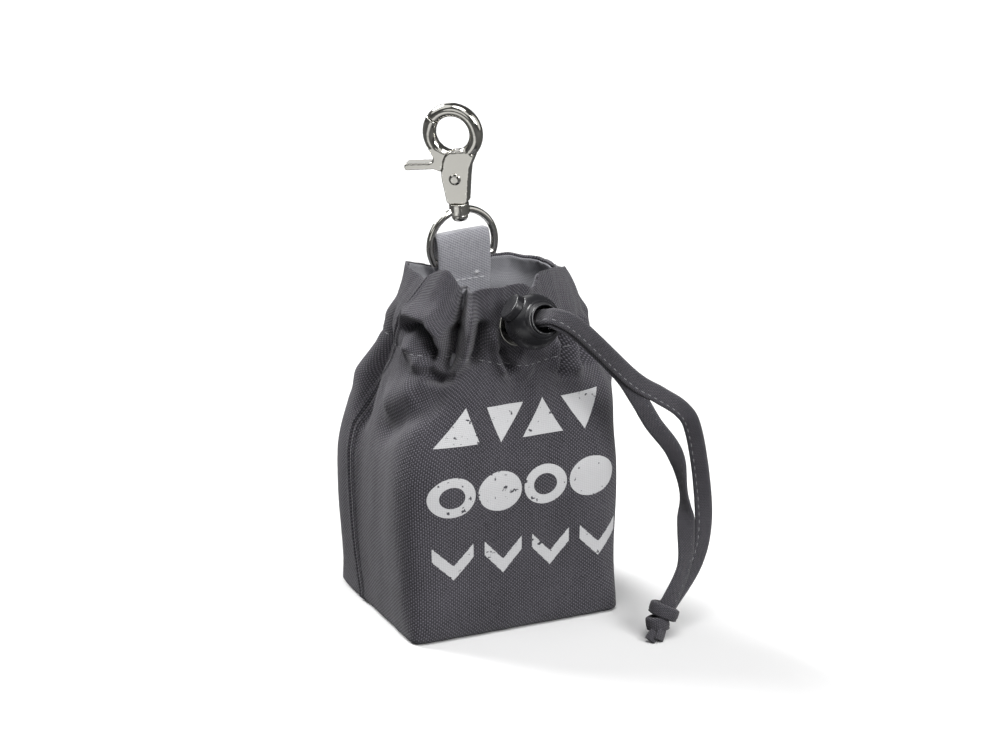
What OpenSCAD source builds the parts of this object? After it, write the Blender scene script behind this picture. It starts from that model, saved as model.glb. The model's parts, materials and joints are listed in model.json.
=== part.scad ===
// Drawstring treat pouch: lined canvas bag on a boxed base, webbing tab with a
// swivel trigger hook, and a flat drawcord held by a sprung ball lock.
// Origin: centre of the base on the floor. +Z up, front faces -Y. Millimetres.

/* [Pouch] */
// Width of the boxed base
base_w = 90; // [84:1:96]
// Depth of the boxed base
base_d = 70; // [66:1:76]
// Width across the gathered neck
neck_w = 78; // [74:1:82]
// Depth across the gathered neck
neck_d = 58; // [55:1:62]
// Height where the straight walls start to gather
shoulder_z = 46; // [36:1:56]
// Height of the gathered neck
neck_z = 116; // [112:1:120]
// Mean height of the mouth
rim_z = 134; // [132:1:136]
// How much higher the mouth is at the front than in the middle
rim_rise = 3; // [1:0.5:4]
// Sideways shift of the gathered neck
neck_shift = 5; // [3:1:7]
// Thickness of the canvas walls
canvas_t = 1.2; // [0.8:0.1:1.4]
// Thickness of the lining
lining_t = 0.8; // [0.5:0.1:1.0]

/* [Webbing tab] */
// Width of the webbing
tab_w = 22.4; // [20:0.2:22.4]
// Height of the fold at the top of the tab
tab_top_z = 147.5; // [146:0.5:149]
// Thickness of one layer of webbing
webbing_t = 1.4; // [1:0.1:1.6]

/* [Swivel hook] */
// Wire diameter of the D-shaped end
ring_wire_d = 2.9; // [2.6:0.1:3.0]
// Radius of the arc of the D-shaped end, to the middle of the wire
ring_arc_r = 14.2; // [14.2:0.1:14.8]
// Radius of the bore of the round eye
eye_r = 7; // [6.9:0.05:7.2]
// Thickness of the round section of the eye
eye_section_d = 5.5; // [5:0.1:5.8]
// Sideways lean of the hook at rest
hook_lean = 5; // [0:1:7]
// Turn of the hook on its stem at rest
hook_turn = -42; // [-60:1:60]

/* [Cord lock] */
// Diameter of the ball
ball_d = 21.4; // [21:0.1:22]
// Diameter of the cord hole
cord_hole_d = 10.4; // [10.2:0.1:10.8]
// Diameter of the push button
button_d = 11; // [10.8:0.1:11.4]
// Upward pitch of the cord where it leaves the pouch
cord_pitch = 21.7; // [16:0.1:26]

/* [Drawcord] */
// Width of the flat cord
cord_w = 7; // [6.6:0.1:8]
// Thickness of the flat cord
cord_t = 1.6; // [1.3:0.1:1.7]

/* [Hidden] */
$fn = 64;

// Colours of the finishes
canvas_colour = [0.25, 0.24, 0.27];
lining_colour = [0.55, 0.55, 0.58];
thread_colour = [0.72, 0.72, 0.72];
metal_colour = [0.80, 0.80, 0.78];
lock_colour = [0.10, 0.10, 0.11];

// Pouch surfaces
base_squareness = 10;
neck_squareness = 2.3;
mouth_flare = 1.5;
base_t = 1.2;
wall_foot_z = base_t + 0.3;
lining_inset = 4.4;
seam_angle = 1.5;
seam_gap = 0.15;
stitch_z = 111;
stitch_t = 0.45;
channel_z = 122;

// Eyelet and lock placement
eyelet_x = 2.4;
eyelet_z = 122.8;
eyelet_pitch = 10;
eyelet_hole_d = 10.4;
eyelet_flange_d = 16;
eyelet_barrel_t = 0.5;
cord_yaw = 4.8;
lock_reach = 12.4;
lock_rim_h = 0.65;
tail_gap = 1.6;
button_turn = 139.4;
button_travel = 2;
button_gap = 0.08;
button_bore_z = -7.6;
eyelet_pos = [eyelet_x, -half_depth(eyelet_z) - 0.1, eyelet_z];
cord_axis = [sin(cord_yaw) * cos(cord_pitch), -cos(cord_yaw) * cos(cord_pitch), sin(cord_pitch)];
lock_pos = eyelet_pos + lock_reach * cord_axis;
tail_start = lock_pos + (ball_d / 2 + tail_gap) * cord_axis;

// Hook heights along the stem, from the middle of the bar
bar_pos = [4, 21, 136];
bar_half = 12.9;
tab_x = bar_pos[0] - 0.5;
tab_foot_z = 119;
tab_stitch_z = 127.5;
wire_room = 0.45;
arc_height = sqrt(ring_arc_r * ring_arc_r - bar_half * bar_half);
boss_low = 18.4;
boss_high = 23;
boss_d = 8;
stem_d = 4.1;
stem_bore_d = 4.24;
head_d = 6.6;
head_h = 2.6;
pivot_height = 33.4;
body_t = 5.5;
slot_t = 2.4;
tongue_t = 2.2;
tongue_r = 4.3;
rivet_d = 3;
rivet_head_d = 4.8;
eye_height = 18.2;
eye_ring_r = 9.5;
tip_angle = 142;
body_foot = boss_high + 0.1 - pivot_height;

// ---------- Shared functions ----------

function mix(a, b, t) = a + (b - a) * t;

function clamp01(t) = min(max(t, 0), 1);

function smooth(t) = let (c = clamp01(t)) c * c * (3 - 2 * c);

// How far the wall has gathered at height z, 0 at the shoulder and 1 at the neck
function gather(z) = smooth((z - shoulder_z) / (neck_z - shoulder_z));

function flare(z) = mouth_flare * clamp01((z - neck_z) / (rim_z - neck_z));

function half_width(z) = mix(base_w, neck_w, gather(z)) / 2 + flare(z);

function half_depth(z) = mix(base_d, neck_d, gather(z)) / 2 + flare(z);

function squareness(z) = mix(base_squareness, neck_squareness, gather(z));

function power_part(v, p) = sign(v) * pow(abs(v), p);

// Point of the wall at height z and angle a, set in from the outer surface
function wall_point(z, a, inset) = let (p = 2 / squareness(z)) [
    neck_shift * gather(z) + (half_width(z) - inset) * power_part(cos(a), p),
    (half_depth(z) - inset) * power_part(sin(a), p),
    z];

function rim_at(a) = rim_z - rim_rise * sin(a);

// Height at share t of the way from the foot to the mouth
function wall_height(foot, t, a, drop) = mix(foot, rim_at(a) - drop, t);

function unit(v) = v / norm(v);

// Corners of a flat strip's cross-section: width w across the path, thickness t
function strip_section(p, along, facing, w, t, side, rise) =
    let (across = unit(cross(along, facing)), up = unit(cross(across, along)))
    [for (c = [[-1, -1], [1, -1], [1, 1], [-1, 1]])
        p + across * (side + c[0] * w / 2) + up * (rise + c[1] * t / 2)];

function catmull(p0, p1, p2, p3, t) = 0.5 * (2 * p1 + (p2 - p0) * t
    + (2 * p0 - 5 * p1 + 4 * p2 - p3) * t * t + (3 * p1 - p0 - 3 * p2 + p3) * t * t * t);

// Point at parameter t of a smooth path through a list of points
function path_point(pts, t) =
    let (last = len(pts) - 1, i = min(floor(t), last - 1), f = t - i)
    catmull(pts[max(i - 1, 0)], pts[i], pts[i + 1], pts[min(i + 2, last)], f);

function path_along(pts, t) =
    let (d = 0.02, last = len(pts) - 1)
    unit(path_point(pts, min(t + d, last)) - path_point(pts, max(t - d, 0)));

// ---------- Shared modules ----------

// Solid through a list of four-sided sections
module strip(sections) {
    n = len(sections);
    points = [for (s = sections) each s];
    sides = [for (i = [0 : n - 2], k = [0 : 3])
        [i * 4 + k, i * 4 + (k + 1) % 4, (i + 1) * 4 + (k + 1) % 4, (i + 1) * 4 + k]];
    ends = [[3, 2, 1, 0], [for (k = [0 : 3]) (n - 1) * 4 + k]];
    polyhedron(points, concat(sides, ends), convexity = 6);
}

// Flat cord along a smooth path, from parameter t0 to t1
module cord_along(pts, facing, t0, t1, steps, w, t, side = 0, rise = 0) {
    strip([for (i = [0 : steps]) let (s = mix(t0, t1, i / steps))
        strip_section(path_point(pts, s), path_along(pts, s), facing, w, t, side, rise)]);
}

// Curved wall between two angles, as a closed solid of even thickness
module wall(a0, a1, inset, thickness, foot, steps, levels) {
    cols = steps + 1;
    rows = levels + 1;
    layer = cols * rows;
    points = [for (skin = [inset, inset + thickness], j = [0 : levels], i = [0 : steps])
        let (a = mix(a0, a1, i / steps)) wall_point(wall_height(foot, j / levels, a, 0), a, skin)];
    outer = [for (j = [0 : levels - 1], i = [0 : steps - 1])
        [j * cols + i, (j + 1) * cols + i, (j + 1) * cols + i + 1, j * cols + i + 1]];
    inner = [for (f = outer) [for (k = [3 : -1 : 0]) f[k] + layer]];
    bottom = [for (i = [0 : steps - 1]) [i, i + 1, i + 1 + layer, i + layer]];
    top = [for (i = [0 : steps - 1]) let (b = levels * cols + i) [b, b + layer, b + 1 + layer, b + 1]];
    start = [for (j = [0 : levels - 1]) let (b = j * cols) [b, b + layer, b + cols + layer, b + cols]];
    end = [for (j = [0 : levels - 1]) let (b = j * cols + steps)
        [b, b + cols, b + cols + layer, b + layer]];
    polyhedron(points, concat(outer, inner, bottom, top, start, end), convexity = 10);
}

// One stitch lying on the wall between two angles at one height
module wall_stitch(a0, a1, z) {
    strip([for (a = [a0, (a0 + a1) / 2, a1])
        let (p = wall_point(z, a, 0), out = unit([p[0] - neck_shift * gather(z), p[1], 0]))
        [p - out * stitch_t / 2 - [0, 0, stitch_t / 2], p + out * stitch_t / 2 - [0, 0, stitch_t / 2],
            p + out * stitch_t / 2 + [0, 0, stitch_t / 2], p - out * stitch_t / 2 + [0, 0, stitch_t / 2]]]);
}

// Coil of round wire about +Z, from z = 0 up
module coil(r, wire_r, pitch, turns) {
    sides = 8;
    per_turn = 20;
    n = round(turns * per_turn);
    points = [for (i = [0 : n], k = [0 : sides - 1])
        let (a = i * 360 / per_turn, b = k * 360 / sides, q = r + wire_r * cos(b))
        [q * cos(a), q * sin(a), wire_r + i * pitch / per_turn + wire_r * sin(b)]];
    skin = [for (i = [0 : n - 1], k = [0 : sides - 1])
        [i * sides + k, (i + 1) * sides + k, (i + 1) * sides + (k + 1) % sides, i * sides + (k + 1) % sides]];
    ends = [[for (k = [0 : sides - 1]) k], [for (k = [sides - 1 : -1 : 0]) n * sides + k]];
    polyhedron(points, concat(skin, ends), convexity = 10);
}

// Places children in the frame of the cord where it leaves the pouch: cord along -Y
module in_cord_frame(pos) {
    translate(pos) rotate([0, 0, cord_yaw]) rotate([-cord_pitch, 0, 0]) children();
}

// Places children in the frame of the push button, which faces +Z
module in_button_frame() {
    in_cord_frame(lock_pos) rotate([0, 90 - button_turn, 0]) children();
}

// Places children in the frame of the D-shaped end: bar along X, stem along +Z
module in_ring_frame() {
    translate(bar_pos) rotate([0, -hook_lean, 0]) children();
}

// Places children in the frame of the hook: rivet along Y at the origin
module in_hook_frame() {
    in_ring_frame() rotate([0, 0, hook_turn]) translate([0, 0, pivot_height]) children();
}

// Flat shape drawn in X and Z, given thickness t about Y
module plate(t) {
    rotate([90, 0, 0]) translate([0, 0, -t / 2]) linear_extrude(t) children();
}

// Cylinder along Y through the origin
module cross_pin(r, t) {
    rotate([90, 0, 0]) cylinder(r = r, h = t, center = true);
}

// ---------- Bag ----------

module front_panel() {
    color(canvas_colour) difference() {
        wall(180 - seam_angle + seam_gap, 360 + seam_angle - seam_gap, 0, canvas_t, wall_foot_z, 44, 16);
        translate(eyelet_pos) rotate([90 - eyelet_pitch, 0, 0])
            cylinder(d = eyelet_hole_d + 2 * eyelet_barrel_t + 0.3, h = 12, center = true);
    }
}

module back_panel() {
    color(canvas_colour)
        wall(seam_angle + seam_gap, 180 - seam_angle - seam_gap, 0, canvas_t, wall_foot_z, 40, 16);
}

module base_panel() {
    corner_r = 9;
    color(canvas_colour) linear_extrude(base_t) difference() {
        square([base_w, base_d], center = true);
        for (x = [-1, 1], y = [-1, 1]) translate([x * base_w / 2, y * base_d / 2]) difference() {
            square(2 * corner_r, center = true);
            translate([-x * corner_r, -y * corner_r]) circle(corner_r);
        }
    }
}

// Inner bag: one cup with a floor, clear of the canvas by the depth of the cord channel
module lining() {
    steps = 64;
    levels = 14;
    foot = base_t + 0.8;
    rows = levels + 1;
    outer = [for (j = [0 : levels], i = [0 : steps - 1]) let (a = i * 360 / steps)
        wall_point(wall_height(foot, j / levels, a, 0.5), a, lining_inset)];
    inner = [for (j = [0 : levels], i = [0 : steps - 1]) let (a = i * 360 / steps)
        wall_point(wall_height(foot + lining_t, j / levels, a, 0.5), a, lining_inset + lining_t)];
    layer = steps * rows;
    skin = [for (j = [0 : levels - 1], i = [0 : steps - 1]) let (k = (i + 1) % steps)
        [j * steps + i, (j + 1) * steps + i, (j + 1) * steps + k, j * steps + k]];
    back = [for (f = skin) [for (k = [3 : -1 : 0]) f[k] + layer]];
    top = [for (i = [0 : steps - 1]) let (k = (i + 1) % steps, b = levels * steps)
        [b + i, b + i + layer, b + k + layer, b + k]];
    floors = [[for (i = [0 : steps - 1]) i], [for (i = [steps - 1 : -1 : 0]) i + layer]];
    color(lining_colour) polyhedron(concat(outer, inner), concat(skin, back, top, floors), convexity = 10);
}

module side_seam_stitching() {
    stitch = 3;
    color(thread_colour) for (a = [seam_angle, 180 - seam_angle], z = [8 : 2 * stitch : 104])
        let (p = wall_point(z, a, 0), q = wall_point(z + stitch, a, 0), x = [stitch_t, 0, 0], y = [0, 0.7, 0])
        strip([for (e = [p, q]) [e - x + y, e + x + y, e + x - y, e - x - y]]);
}

// Running stitch that closes the lower side of the cord channel
module channel_stitching() {
    count = 64;
    color(thread_colour) for (i = [0 : count - 1])
        let (a = (i + 0.5) * 360 / count) wall_stitch(a - 1.4, a + 1.4, stitch_z);
}

// ---------- Webbing tab ----------

module webbing_tab() {
    loop_r = ring_wire_d / 2 + wire_room;
    outer_r = loop_r + webbing_t;
    top = tab_top_z - outer_r;
    color(lining_colour) translate([tab_x - tab_w / 2, bar_pos[1], 0])
        rotate([90, 0, 90]) linear_extrude(tab_w) difference() {
            hull() {
                translate([0, top]) circle(outer_r, $fn = 32);
                translate([0, bar_pos[2]]) circle(outer_r, $fn = 32);
                translate([0, tab_foot_z]) circle(webbing_t, $fn = 32);
            }
            hull() {
                translate([0, top]) circle(loop_r, $fn = 32);
                translate([0, bar_pos[2] - 1.6]) circle(loop_r, $fn = 32);
                translate([0, bar_pos[2] - 5]) circle(0.1, $fn = 16);
            }
        }
}

// Stitches through the tab, the lining and the canvas, with a small cross at the right
module tab_stitching() {
    front = bar_pos[1] - webbing_t - 0.4;
    reach = 10.2;
    pitch = 2.3;
    stitch = 1.5;
    cross_pos = [tab_x + 5, front, tab_stitch_z + 1.8];
    color(thread_colour) {
        for (i = [-4 : 4]) translate([tab_x + i * pitch, front, tab_stitch_z]) {
            cube([stitch, stitch_t, stitch_t], center = true);
            rotate([-90, 0, 0]) cylinder(d = stitch_t, h = reach);
        }
        for (a = [45, -45]) translate(cross_pos) rotate([0, a, 0])
            cube([2.2, stitch_t, stitch_t], center = true);
        translate(cross_pos) rotate([-90, 0, 0]) cylinder(d = stitch_t, h = reach);
    }
}

// ---------- Eyelet ----------

module in_eyelet_frame() {
    translate(eyelet_pos) rotate([90 - eyelet_pitch, 0, 0]) children();
}

// Domed front flange and the barrel through the canvas
module eyelet_barrel() {
    hole_r = eyelet_hole_d / 2;
    flange_r = eyelet_flange_d / 2;
    lip_r = 0.5;
    color(metal_colour) in_eyelet_frame() rotate_extrude() {
        translate([hole_r, -2.4]) square([eyelet_barrel_t, 3]);
        translate([hole_r, 0.1]) square([flange_r - hole_r - lip_r, 2 * lip_r - 0.1]);
        translate([flange_r - lip_r, lip_r + 0.1]) circle(lip_r);
    }
}

// Washer on the inside, under the rolled end of the barrel
module eyelet_washer() {
    washer_d = eyelet_flange_d - 3;
    washer_t = 0.5;
    color(metal_colour) in_eyelet_frame() translate([0, 0, -2.3]) difference() {
        cylinder(d = washer_d, h = washer_t);
        translate([0, 0, -1]) cylinder(d = eyelet_hole_d + 2 * eyelet_barrel_t + 0.1, h = washer_t + 2);
    }
}

// ---------- Drawcord ----------

// Loop in the channel and the doubled stretch through the eyelet and the lock
module drawcord() {
    channel_depth = canvas_t + 0.4;
    channel_cord_t = cord_t - 0.2;
    open_angle = 3;
    steps = 72;
    strand_gap = 0.06 * cord_t;
    inner_end = lock_reach + 1.4;
    outer_end = ball_d / 2 - 0.4;
    color(canvas_colour) {
        strip([for (i = [0 : steps]) let (a = mix(-90 + open_angle, 270 - open_angle, i / steps),
            p = wall_point(channel_z, a, channel_depth),
            q = wall_point(channel_z, a, channel_depth + channel_cord_t),
            h = [0, 0, cord_w / 2]) [p - h, p + h, q + h, q - h]]);
        in_button_frame() for (side = [-1, 1])
            translate([0, (inner_end - outer_end) / 2, button_travel / 2 + side * (cord_t + strand_gap) / 2])
                cube([cord_w, outer_end + inner_end, cord_t], center = true);
    }
}

// Paths of the two strands that hang from the lock down to the knot
cord_facing = [-0.42, -0.85, 0.33];
outer_path = [tail_start + [0, 0, 1.4], [13.5, -55.6, 130.8], [37, -54, 105.5], [59.6, -57, 89],
    [67.5, -61, 58], [66.5, -63.5, 33], [54, -66, 14.5]];
inner_path = [tail_start + [1.2, -0.2, -1.2], [14, -54.4, 127.2], [34, -53, 107], [48, -56.5, 85],
    [59.5, -61, 57], [59.5, -65, 37], [51, -67, 15]];

module cord_tail_outer() {
    color(canvas_colour) cord_along(outer_path, cord_facing, 0, len(outer_path) - 1, 36, cord_w, cord_t);
}

module cord_tail_inner() {
    color(canvas_colour) cord_along(inner_path, cord_facing, 0, len(inner_path) - 1, 36, cord_w, cord_t);
}

module cord_stitching() {
    per_span = 4;
    color(thread_colour) for (pts = [outer_path, inner_path])
        for (i = [1 : per_span * (len(pts) - 1) - 2])
            cord_along(pts, cord_facing, i / per_span, (i + 0.5) / per_span, 2, stitch_t, stitch_t,
                side = cord_w / 2 - 1.6, rise = cord_t / 2);
}

// Overhand knot: an upper collar, a smaller turn below it and the cut ends
module cord_knot() {
    collar_pos = [49, -67, 10.4];
    turn_pos = collar_pos - [4.6, 2.2, 3];
    collar_r = 3.2;
    turn_r = 2.4;
    bulk_r = 2.5;
    ends = [turn_pos + [1.6, -0.3, 0], turn_pos + [-2, -3.8, -3.2], turn_pos + [-4, -7.8, -4.8]];
    color(canvas_colour) {
        translate(collar_pos) rotate([0, 30, 20]) rotate_extrude() translate([collar_r, 0]) circle(bulk_r);
        translate(turn_pos) rotate([60, 20, 0]) rotate_extrude() translate([turn_r, 0]) circle(bulk_r - 0.1);
        cord_along(ends, cord_facing, 0, 2, 6, cord_w * 0.8, 2 * cord_t);
    }
}

// ---------- Cord lock ----------

module lock_body() {
    rim_d = cord_hole_d + 2;
    hole_edge = sqrt(ball_d * ball_d - cord_hole_d * cord_hole_d) / 2;
    color(lock_colour) difference() {
        union() {
            translate(lock_pos) sphere(d = ball_d);
            in_cord_frame(lock_pos) rotate([90, 0, 0]) cylinder(d = rim_d, h = hole_edge + lock_rim_h);
        }
        in_cord_frame(lock_pos) rotate([90, 0, 0]) cylinder(d = cord_hole_d, h = ball_d + 2, center = true);
        in_button_frame() translate([0, 0, button_bore_z])
            cylinder(d = button_d + 2 * button_gap, h = ball_d);
    }
}

// Push button: a barrel with the cord hole across it, out of line with the body's hole by its travel
module lock_plunger() {
    face_z = 11.8;
    foot_z = -4.6;
    edge = 0.5;
    seat_d = 6.4;
    seat_h = 0.6;
    color(lock_colour) difference() {
        in_button_frame() translate([0, 0, foot_z]) {
            cylinder(d = button_d, h = face_z - foot_z - edge);
            translate([0, 0, face_z - foot_z - edge])
                cylinder(d1 = button_d, d2 = button_d - 2 * edge, h = edge);
        }
        in_button_frame() translate([0, 0, button_travel]) rotate([90, 0, 0])
            cylinder(d = cord_hole_d - 0.4, h = ball_d + 2, center = true);
        in_button_frame() translate([0, 0, foot_z - 1]) cylinder(d = seat_d, h = seat_h + 1);
    }
}

// Spring between the floor of the button's bore and the seat under the button
module lock_spring() {
    coil_r = 2.4;
    wire_r = 0.3;
    turn_pitch = 0.72;
    color(metal_colour) in_button_frame() translate([0, 0, button_bore_z + 0.05])
        coil(coil_r, wire_r, turn_pitch, 4);
}

// ---------- Swivel hook ----------

// D-shaped wire end: an arc of more than half a circle closed by the bar, with the boss on top
module swivel_ring() {
    r = ring_wire_d / 2;
    below = asin(arc_height / ring_arc_r);
    color(metal_colour) in_ring_frame() difference() {
        union() {
            rotate([0, 90, 0]) cylinder(r = r, h = 2 * bar_half, center = true);
            for (side = [-1, 1]) translate([side * bar_half, 0, 0]) sphere(r + 0.05);
            translate([0, 0, arc_height]) rotate([90, 0, 0]) rotate([0, 0, -below])
                rotate_extrude(angle = 180 + 2 * below) translate([ring_arc_r, 0]) circle(r);
            translate([0, 0, boss_low]) cylinder(d = boss_d, h = boss_high - boss_low);
        }
        translate([0, 0, boss_low - 5]) cylinder(d = stem_bore_d, h = 14);
        translate([0, 0, boss_low - 4]) cylinder(d = head_d + 0.4, h = 4);
    }
}

// Radius of the curved joint between body and trigger, about the rivet
function parting_r(a) = mix(11.3, 6.3, smooth((a - 92) / 50));

function parting(a0, a1, gap) = [for (i = [0 : 12]) let (a = mix(a0, a1, i / 12))
    (parting_r(a) + gap) * [cos(a), sin(a)]];

// Part of the round eye between two angles, with the middle of the eye at the eye's place
module eye_arc(a0, a1) {
    translate([0, 0, eye_height]) rotate([90, 0, 0]) rotate([0, 0, a0])
        rotate_extrude(angle = a1 - a0) translate([eye_ring_r, 0]) circle(d = eye_section_d);
}

module eye_bore() {
    translate([0, 0, eye_height]) cross_pin(eye_r, 3 * body_t);
}

module hook_body() {
    foot_w = 8.4;
    shoulder_w = 11;
    slot_clear = 0.3;
    head_top = boss_low - 0.1 - pivot_height;
    spring_well = [-4.4, -slot_t / 2, -8.8];
    color(metal_colour) in_hook_frame() difference() {
        union() {
            plate(body_t) polygon(concat([[-foot_w / 2, body_foot + 0.8], [-foot_w / 2 + 0.8, body_foot],
                [foot_w / 2 - 0.8, body_foot], [foot_w / 2, body_foot + 0.8], [shoulder_w / 2, 0],
                [6.4, 5], [8.6, 9.5], [5, 11.5]], parting(92, 150, 0), [[-shoulder_w / 2, 0]]));
            eye_arc(-80, tip_angle - 1);
            translate([0, 0, head_top]) cylinder(d = stem_d, h = boss_high - boss_low + 1);
            translate([0, 0, head_top - head_h]) cylinder(d1 = head_d - 1.6, d2 = head_d, h = head_h / 2);
            translate([0, 0, head_top - head_h / 2]) cylinder(d = head_d, h = head_h / 2);
        }
        eye_bore();
        cross_pin(rivet_d / 2, 3 * body_t);
        cross_pin(tongue_r + slot_clear, slot_t);
        translate([-shoulder_w, -slot_t / 2, -tongue_r - slot_clear]) cube([shoulder_w, slot_t, 20]);
        translate(spring_well) cube([3.4, slot_t, 8]);
    }
}

module hook_trigger() {
    gap = 0.12;
    thumb_tip = -20.4;
    color(metal_colour) in_hook_frame() difference() {
        union() {
            difference() {
                union() {
                    eye_arc(tip_angle + 1, 262);
                    plate(body_t) polygon(concat(parting(94, 152, gap), [[-8.4, 4], [thumb_tip + 0.6, 3.4],
                        [thumb_tip, 4.2], [thumb_tip, 5.6], [thumb_tip + 0.7, 6.3], [-9.6, 6.6], [-8.4, 7.4],
                        [-8.3, 9], [-10.2, 13], [-7, 12.5], [-3, 10.6]]));
                }
                plate(2 * body_t) polygon(concat([[0, 0]], parting(60, 152, gap)));
            }
            cross_pin(tongue_r, tongue_t);
            plate(tongue_t) polygon([[-4.2, -3.4], [-1.5, -3.8], [3.2, 1.4], [-0.3, 4.3], [-1, 11.6],
                [-4.5, 10.9], [-7.8, 5], [-6, 2.4], [-4.3, 0.5]]);
        }
        eye_bore();
        cross_pin(rivet_d / 2 + 0.05, 3 * body_t);
    }
}

// Rivet with two domed heads
module hook_rivet() {
    head = 0.9;
    color(metal_colour) in_hook_frame() {
        cross_pin(rivet_d / 2, body_t + 0.2);
        for (side = [-1, 1]) rotate([side * 90, 0, 0]) translate([0, 0, body_t / 2]) {
            cylinder(d = rivet_head_d, h = 0.3);
            translate([0, 0, 0.3]) cylinder(d1 = rivet_head_d, d2 = rivet_head_d * 0.6, h = head - 0.3);
        }
    }
}

// Return spring of the trigger, in the slot under its heel
module hook_spring() {
    coil_r = 0.8;
    wire_r = 0.17;
    turn_pitch = 0.85;
    color(metal_colour) in_hook_frame() translate([-2.7, 0, -8.7]) coil(coil_r, wire_r, turn_pitch, 4.5);
}

front_panel();
back_panel();
base_panel();
lining();
side_seam_stitching();
channel_stitching();
webbing_tab();
tab_stitching();
eyelet_barrel();
eyelet_washer();
drawcord();
cord_tail_outer();
cord_tail_inner();
cord_stitching();
cord_knot();
lock_body();
lock_plunger();
lock_spring();
swivel_ring();
hook_body();
hook_trigger();
hook_rivet();
hook_spring();
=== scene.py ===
import json
import math

import bmesh
import bpy
import numpy as np
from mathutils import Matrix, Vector


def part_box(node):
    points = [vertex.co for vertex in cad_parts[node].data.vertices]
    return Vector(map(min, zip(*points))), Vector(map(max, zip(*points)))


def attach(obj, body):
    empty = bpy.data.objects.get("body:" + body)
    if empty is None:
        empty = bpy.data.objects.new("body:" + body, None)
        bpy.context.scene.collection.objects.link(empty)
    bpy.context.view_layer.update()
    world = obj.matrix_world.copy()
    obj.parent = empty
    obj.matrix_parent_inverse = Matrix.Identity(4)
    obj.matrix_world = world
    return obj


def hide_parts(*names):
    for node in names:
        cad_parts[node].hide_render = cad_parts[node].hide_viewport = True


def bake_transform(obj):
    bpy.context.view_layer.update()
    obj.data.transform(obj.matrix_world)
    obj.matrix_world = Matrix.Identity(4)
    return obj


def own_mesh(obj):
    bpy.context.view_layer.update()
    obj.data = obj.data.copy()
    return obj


# Treat pouch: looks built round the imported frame. Lengths are in metres, in the frame of the CAD.

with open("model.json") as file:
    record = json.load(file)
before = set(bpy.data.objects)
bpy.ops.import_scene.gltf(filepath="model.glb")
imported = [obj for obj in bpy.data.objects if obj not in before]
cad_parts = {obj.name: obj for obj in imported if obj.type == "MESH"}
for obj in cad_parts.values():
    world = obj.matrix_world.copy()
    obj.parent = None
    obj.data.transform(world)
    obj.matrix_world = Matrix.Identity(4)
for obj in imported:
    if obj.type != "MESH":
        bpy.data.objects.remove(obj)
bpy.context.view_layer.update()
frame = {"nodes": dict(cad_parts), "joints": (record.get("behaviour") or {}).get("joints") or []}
JOINTS = {j["name"]: j for j in frame["joints"]}
MM = 0.001

# ---------- Sizes taken from the frame ----------

BASE_LOW, BASE_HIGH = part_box("base_panel")
NECK_LOW, NECK_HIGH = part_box("channel_stitching")
TAB_LOW, TAB_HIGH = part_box("webbing_tab")
BASE_HALF = ((BASE_HIGH.x - BASE_LOW.x) / 2, (BASE_HIGH.y - BASE_LOW.y) / 2)
NECK_HALF = ((NECK_HIGH.x - NECK_LOW.x) / 2, (NECK_HIGH.y - NECK_LOW.y) / 2)
NECK_X = (NECK_HIGH.x + NECK_LOW.x) / 2
FLOOR_Z = BASE_LOW.z
BASE_TOP = BASE_HIGH.z
STITCH_Z = (NECK_LOW.z + NECK_HIGH.z) / 2
CORD_AXIS = Vector(JOINTS["lock_slide"]["axis"]).normalized()
BUTTON_AXIS = -Vector(JOINTS["plunger_press"]["axis"]).normalized()
TAIL_POS = Vector(JOINTS["tail_swing"]["pos_m"])
BAR_POS = Vector(JOINTS["ring_tilt"]["pos_m"])
LOCK_TO_TAIL = 12.3
LOCK_POS = TAIL_POS - CORD_AXIS * LOCK_TO_TAIL * MM

# ---------- Driving dimensions of the soft shape ----------

SHOULDER_Z = 0.060
NECK_Z = 0.117
BASE_SQUARENESS = 6.5
NECK_SQUARENESS = 2.3
BASE_TURN = math.radians(-1.8)
BELLY = 2.3 * MM
BELLY_TOP_Z = 0.105
WALL_EASE = 0.7 * MM
FOOT_REACH = 0.022
FOOT_NARROWER = 0.9 * MM
FOOT_DEEPER = 2.6 * MM
FOOT_CORNER = 16
FOOT_CORNER_REACH = 0.007
WALL_GIRTH = 2 * math.pi * 0.048
WALL_COLS = 420
WALL_ROWS = 190
CANVAS_T = 1.1 * MM
LINING_T = 0.5 * MM
CORD_W = 7.0 * MM
CORD_T = 1.7 * MM
HOLE_D = 10.4 * MM
WEAVE_PITCH = 0.72 * MM
CORD_WEAVE_PITCH = 0.66 * MM
LINING_WEAVE_PITCH = 0.62 * MM


def smooth(t):
    t = np.clip(t, 0, 1)
    return t * t * (3 - 2 * t)


def mix(a, b, t):
    return a + (b - a) * t


def gather(z):
    return smooth((z - SHOULDER_Z) / (NECK_Z - SHOULDER_Z))


# ---------- Mesh helpers ----------

def make_object(name, verts, faces, uvs=None):
    mesh = bpy.data.meshes.new(name)
    mesh.from_pydata([tuple(v) for v in verts], [], [tuple(f) for f in faces])
    if uvs is not None:
        layer = mesh.uv_layers.new(name="UVMap")
        flat = np.asarray(uvs, dtype=np.float32).reshape(-1)
        layer.data.foreach_set("uv", flat)
    mesh.polygons.foreach_set("use_smooth", [True] * len(mesh.polygons))
    mesh.update()
    obj = bpy.data.objects.new(name, mesh)
    bpy.context.scene.collection.objects.link(obj)
    return obj


def grid_faces(rows, cols, wrap):
    """Quads of a rows x cols grid, and the (row, column) of each corner for its UV."""
    last = cols if wrap else cols - 1
    faces, corners = [], []
    for j in range(rows - 1):
        for i in range(last):
            k = (i + 1) % cols
            faces.append((j * cols + i, j * cols + k, (j + 1) * cols + k, (j + 1) * cols + i))
            corners.append(((j, i), (j, i + 1), (j + 1, i + 1), (j + 1, i)))
    return faces, corners


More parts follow.
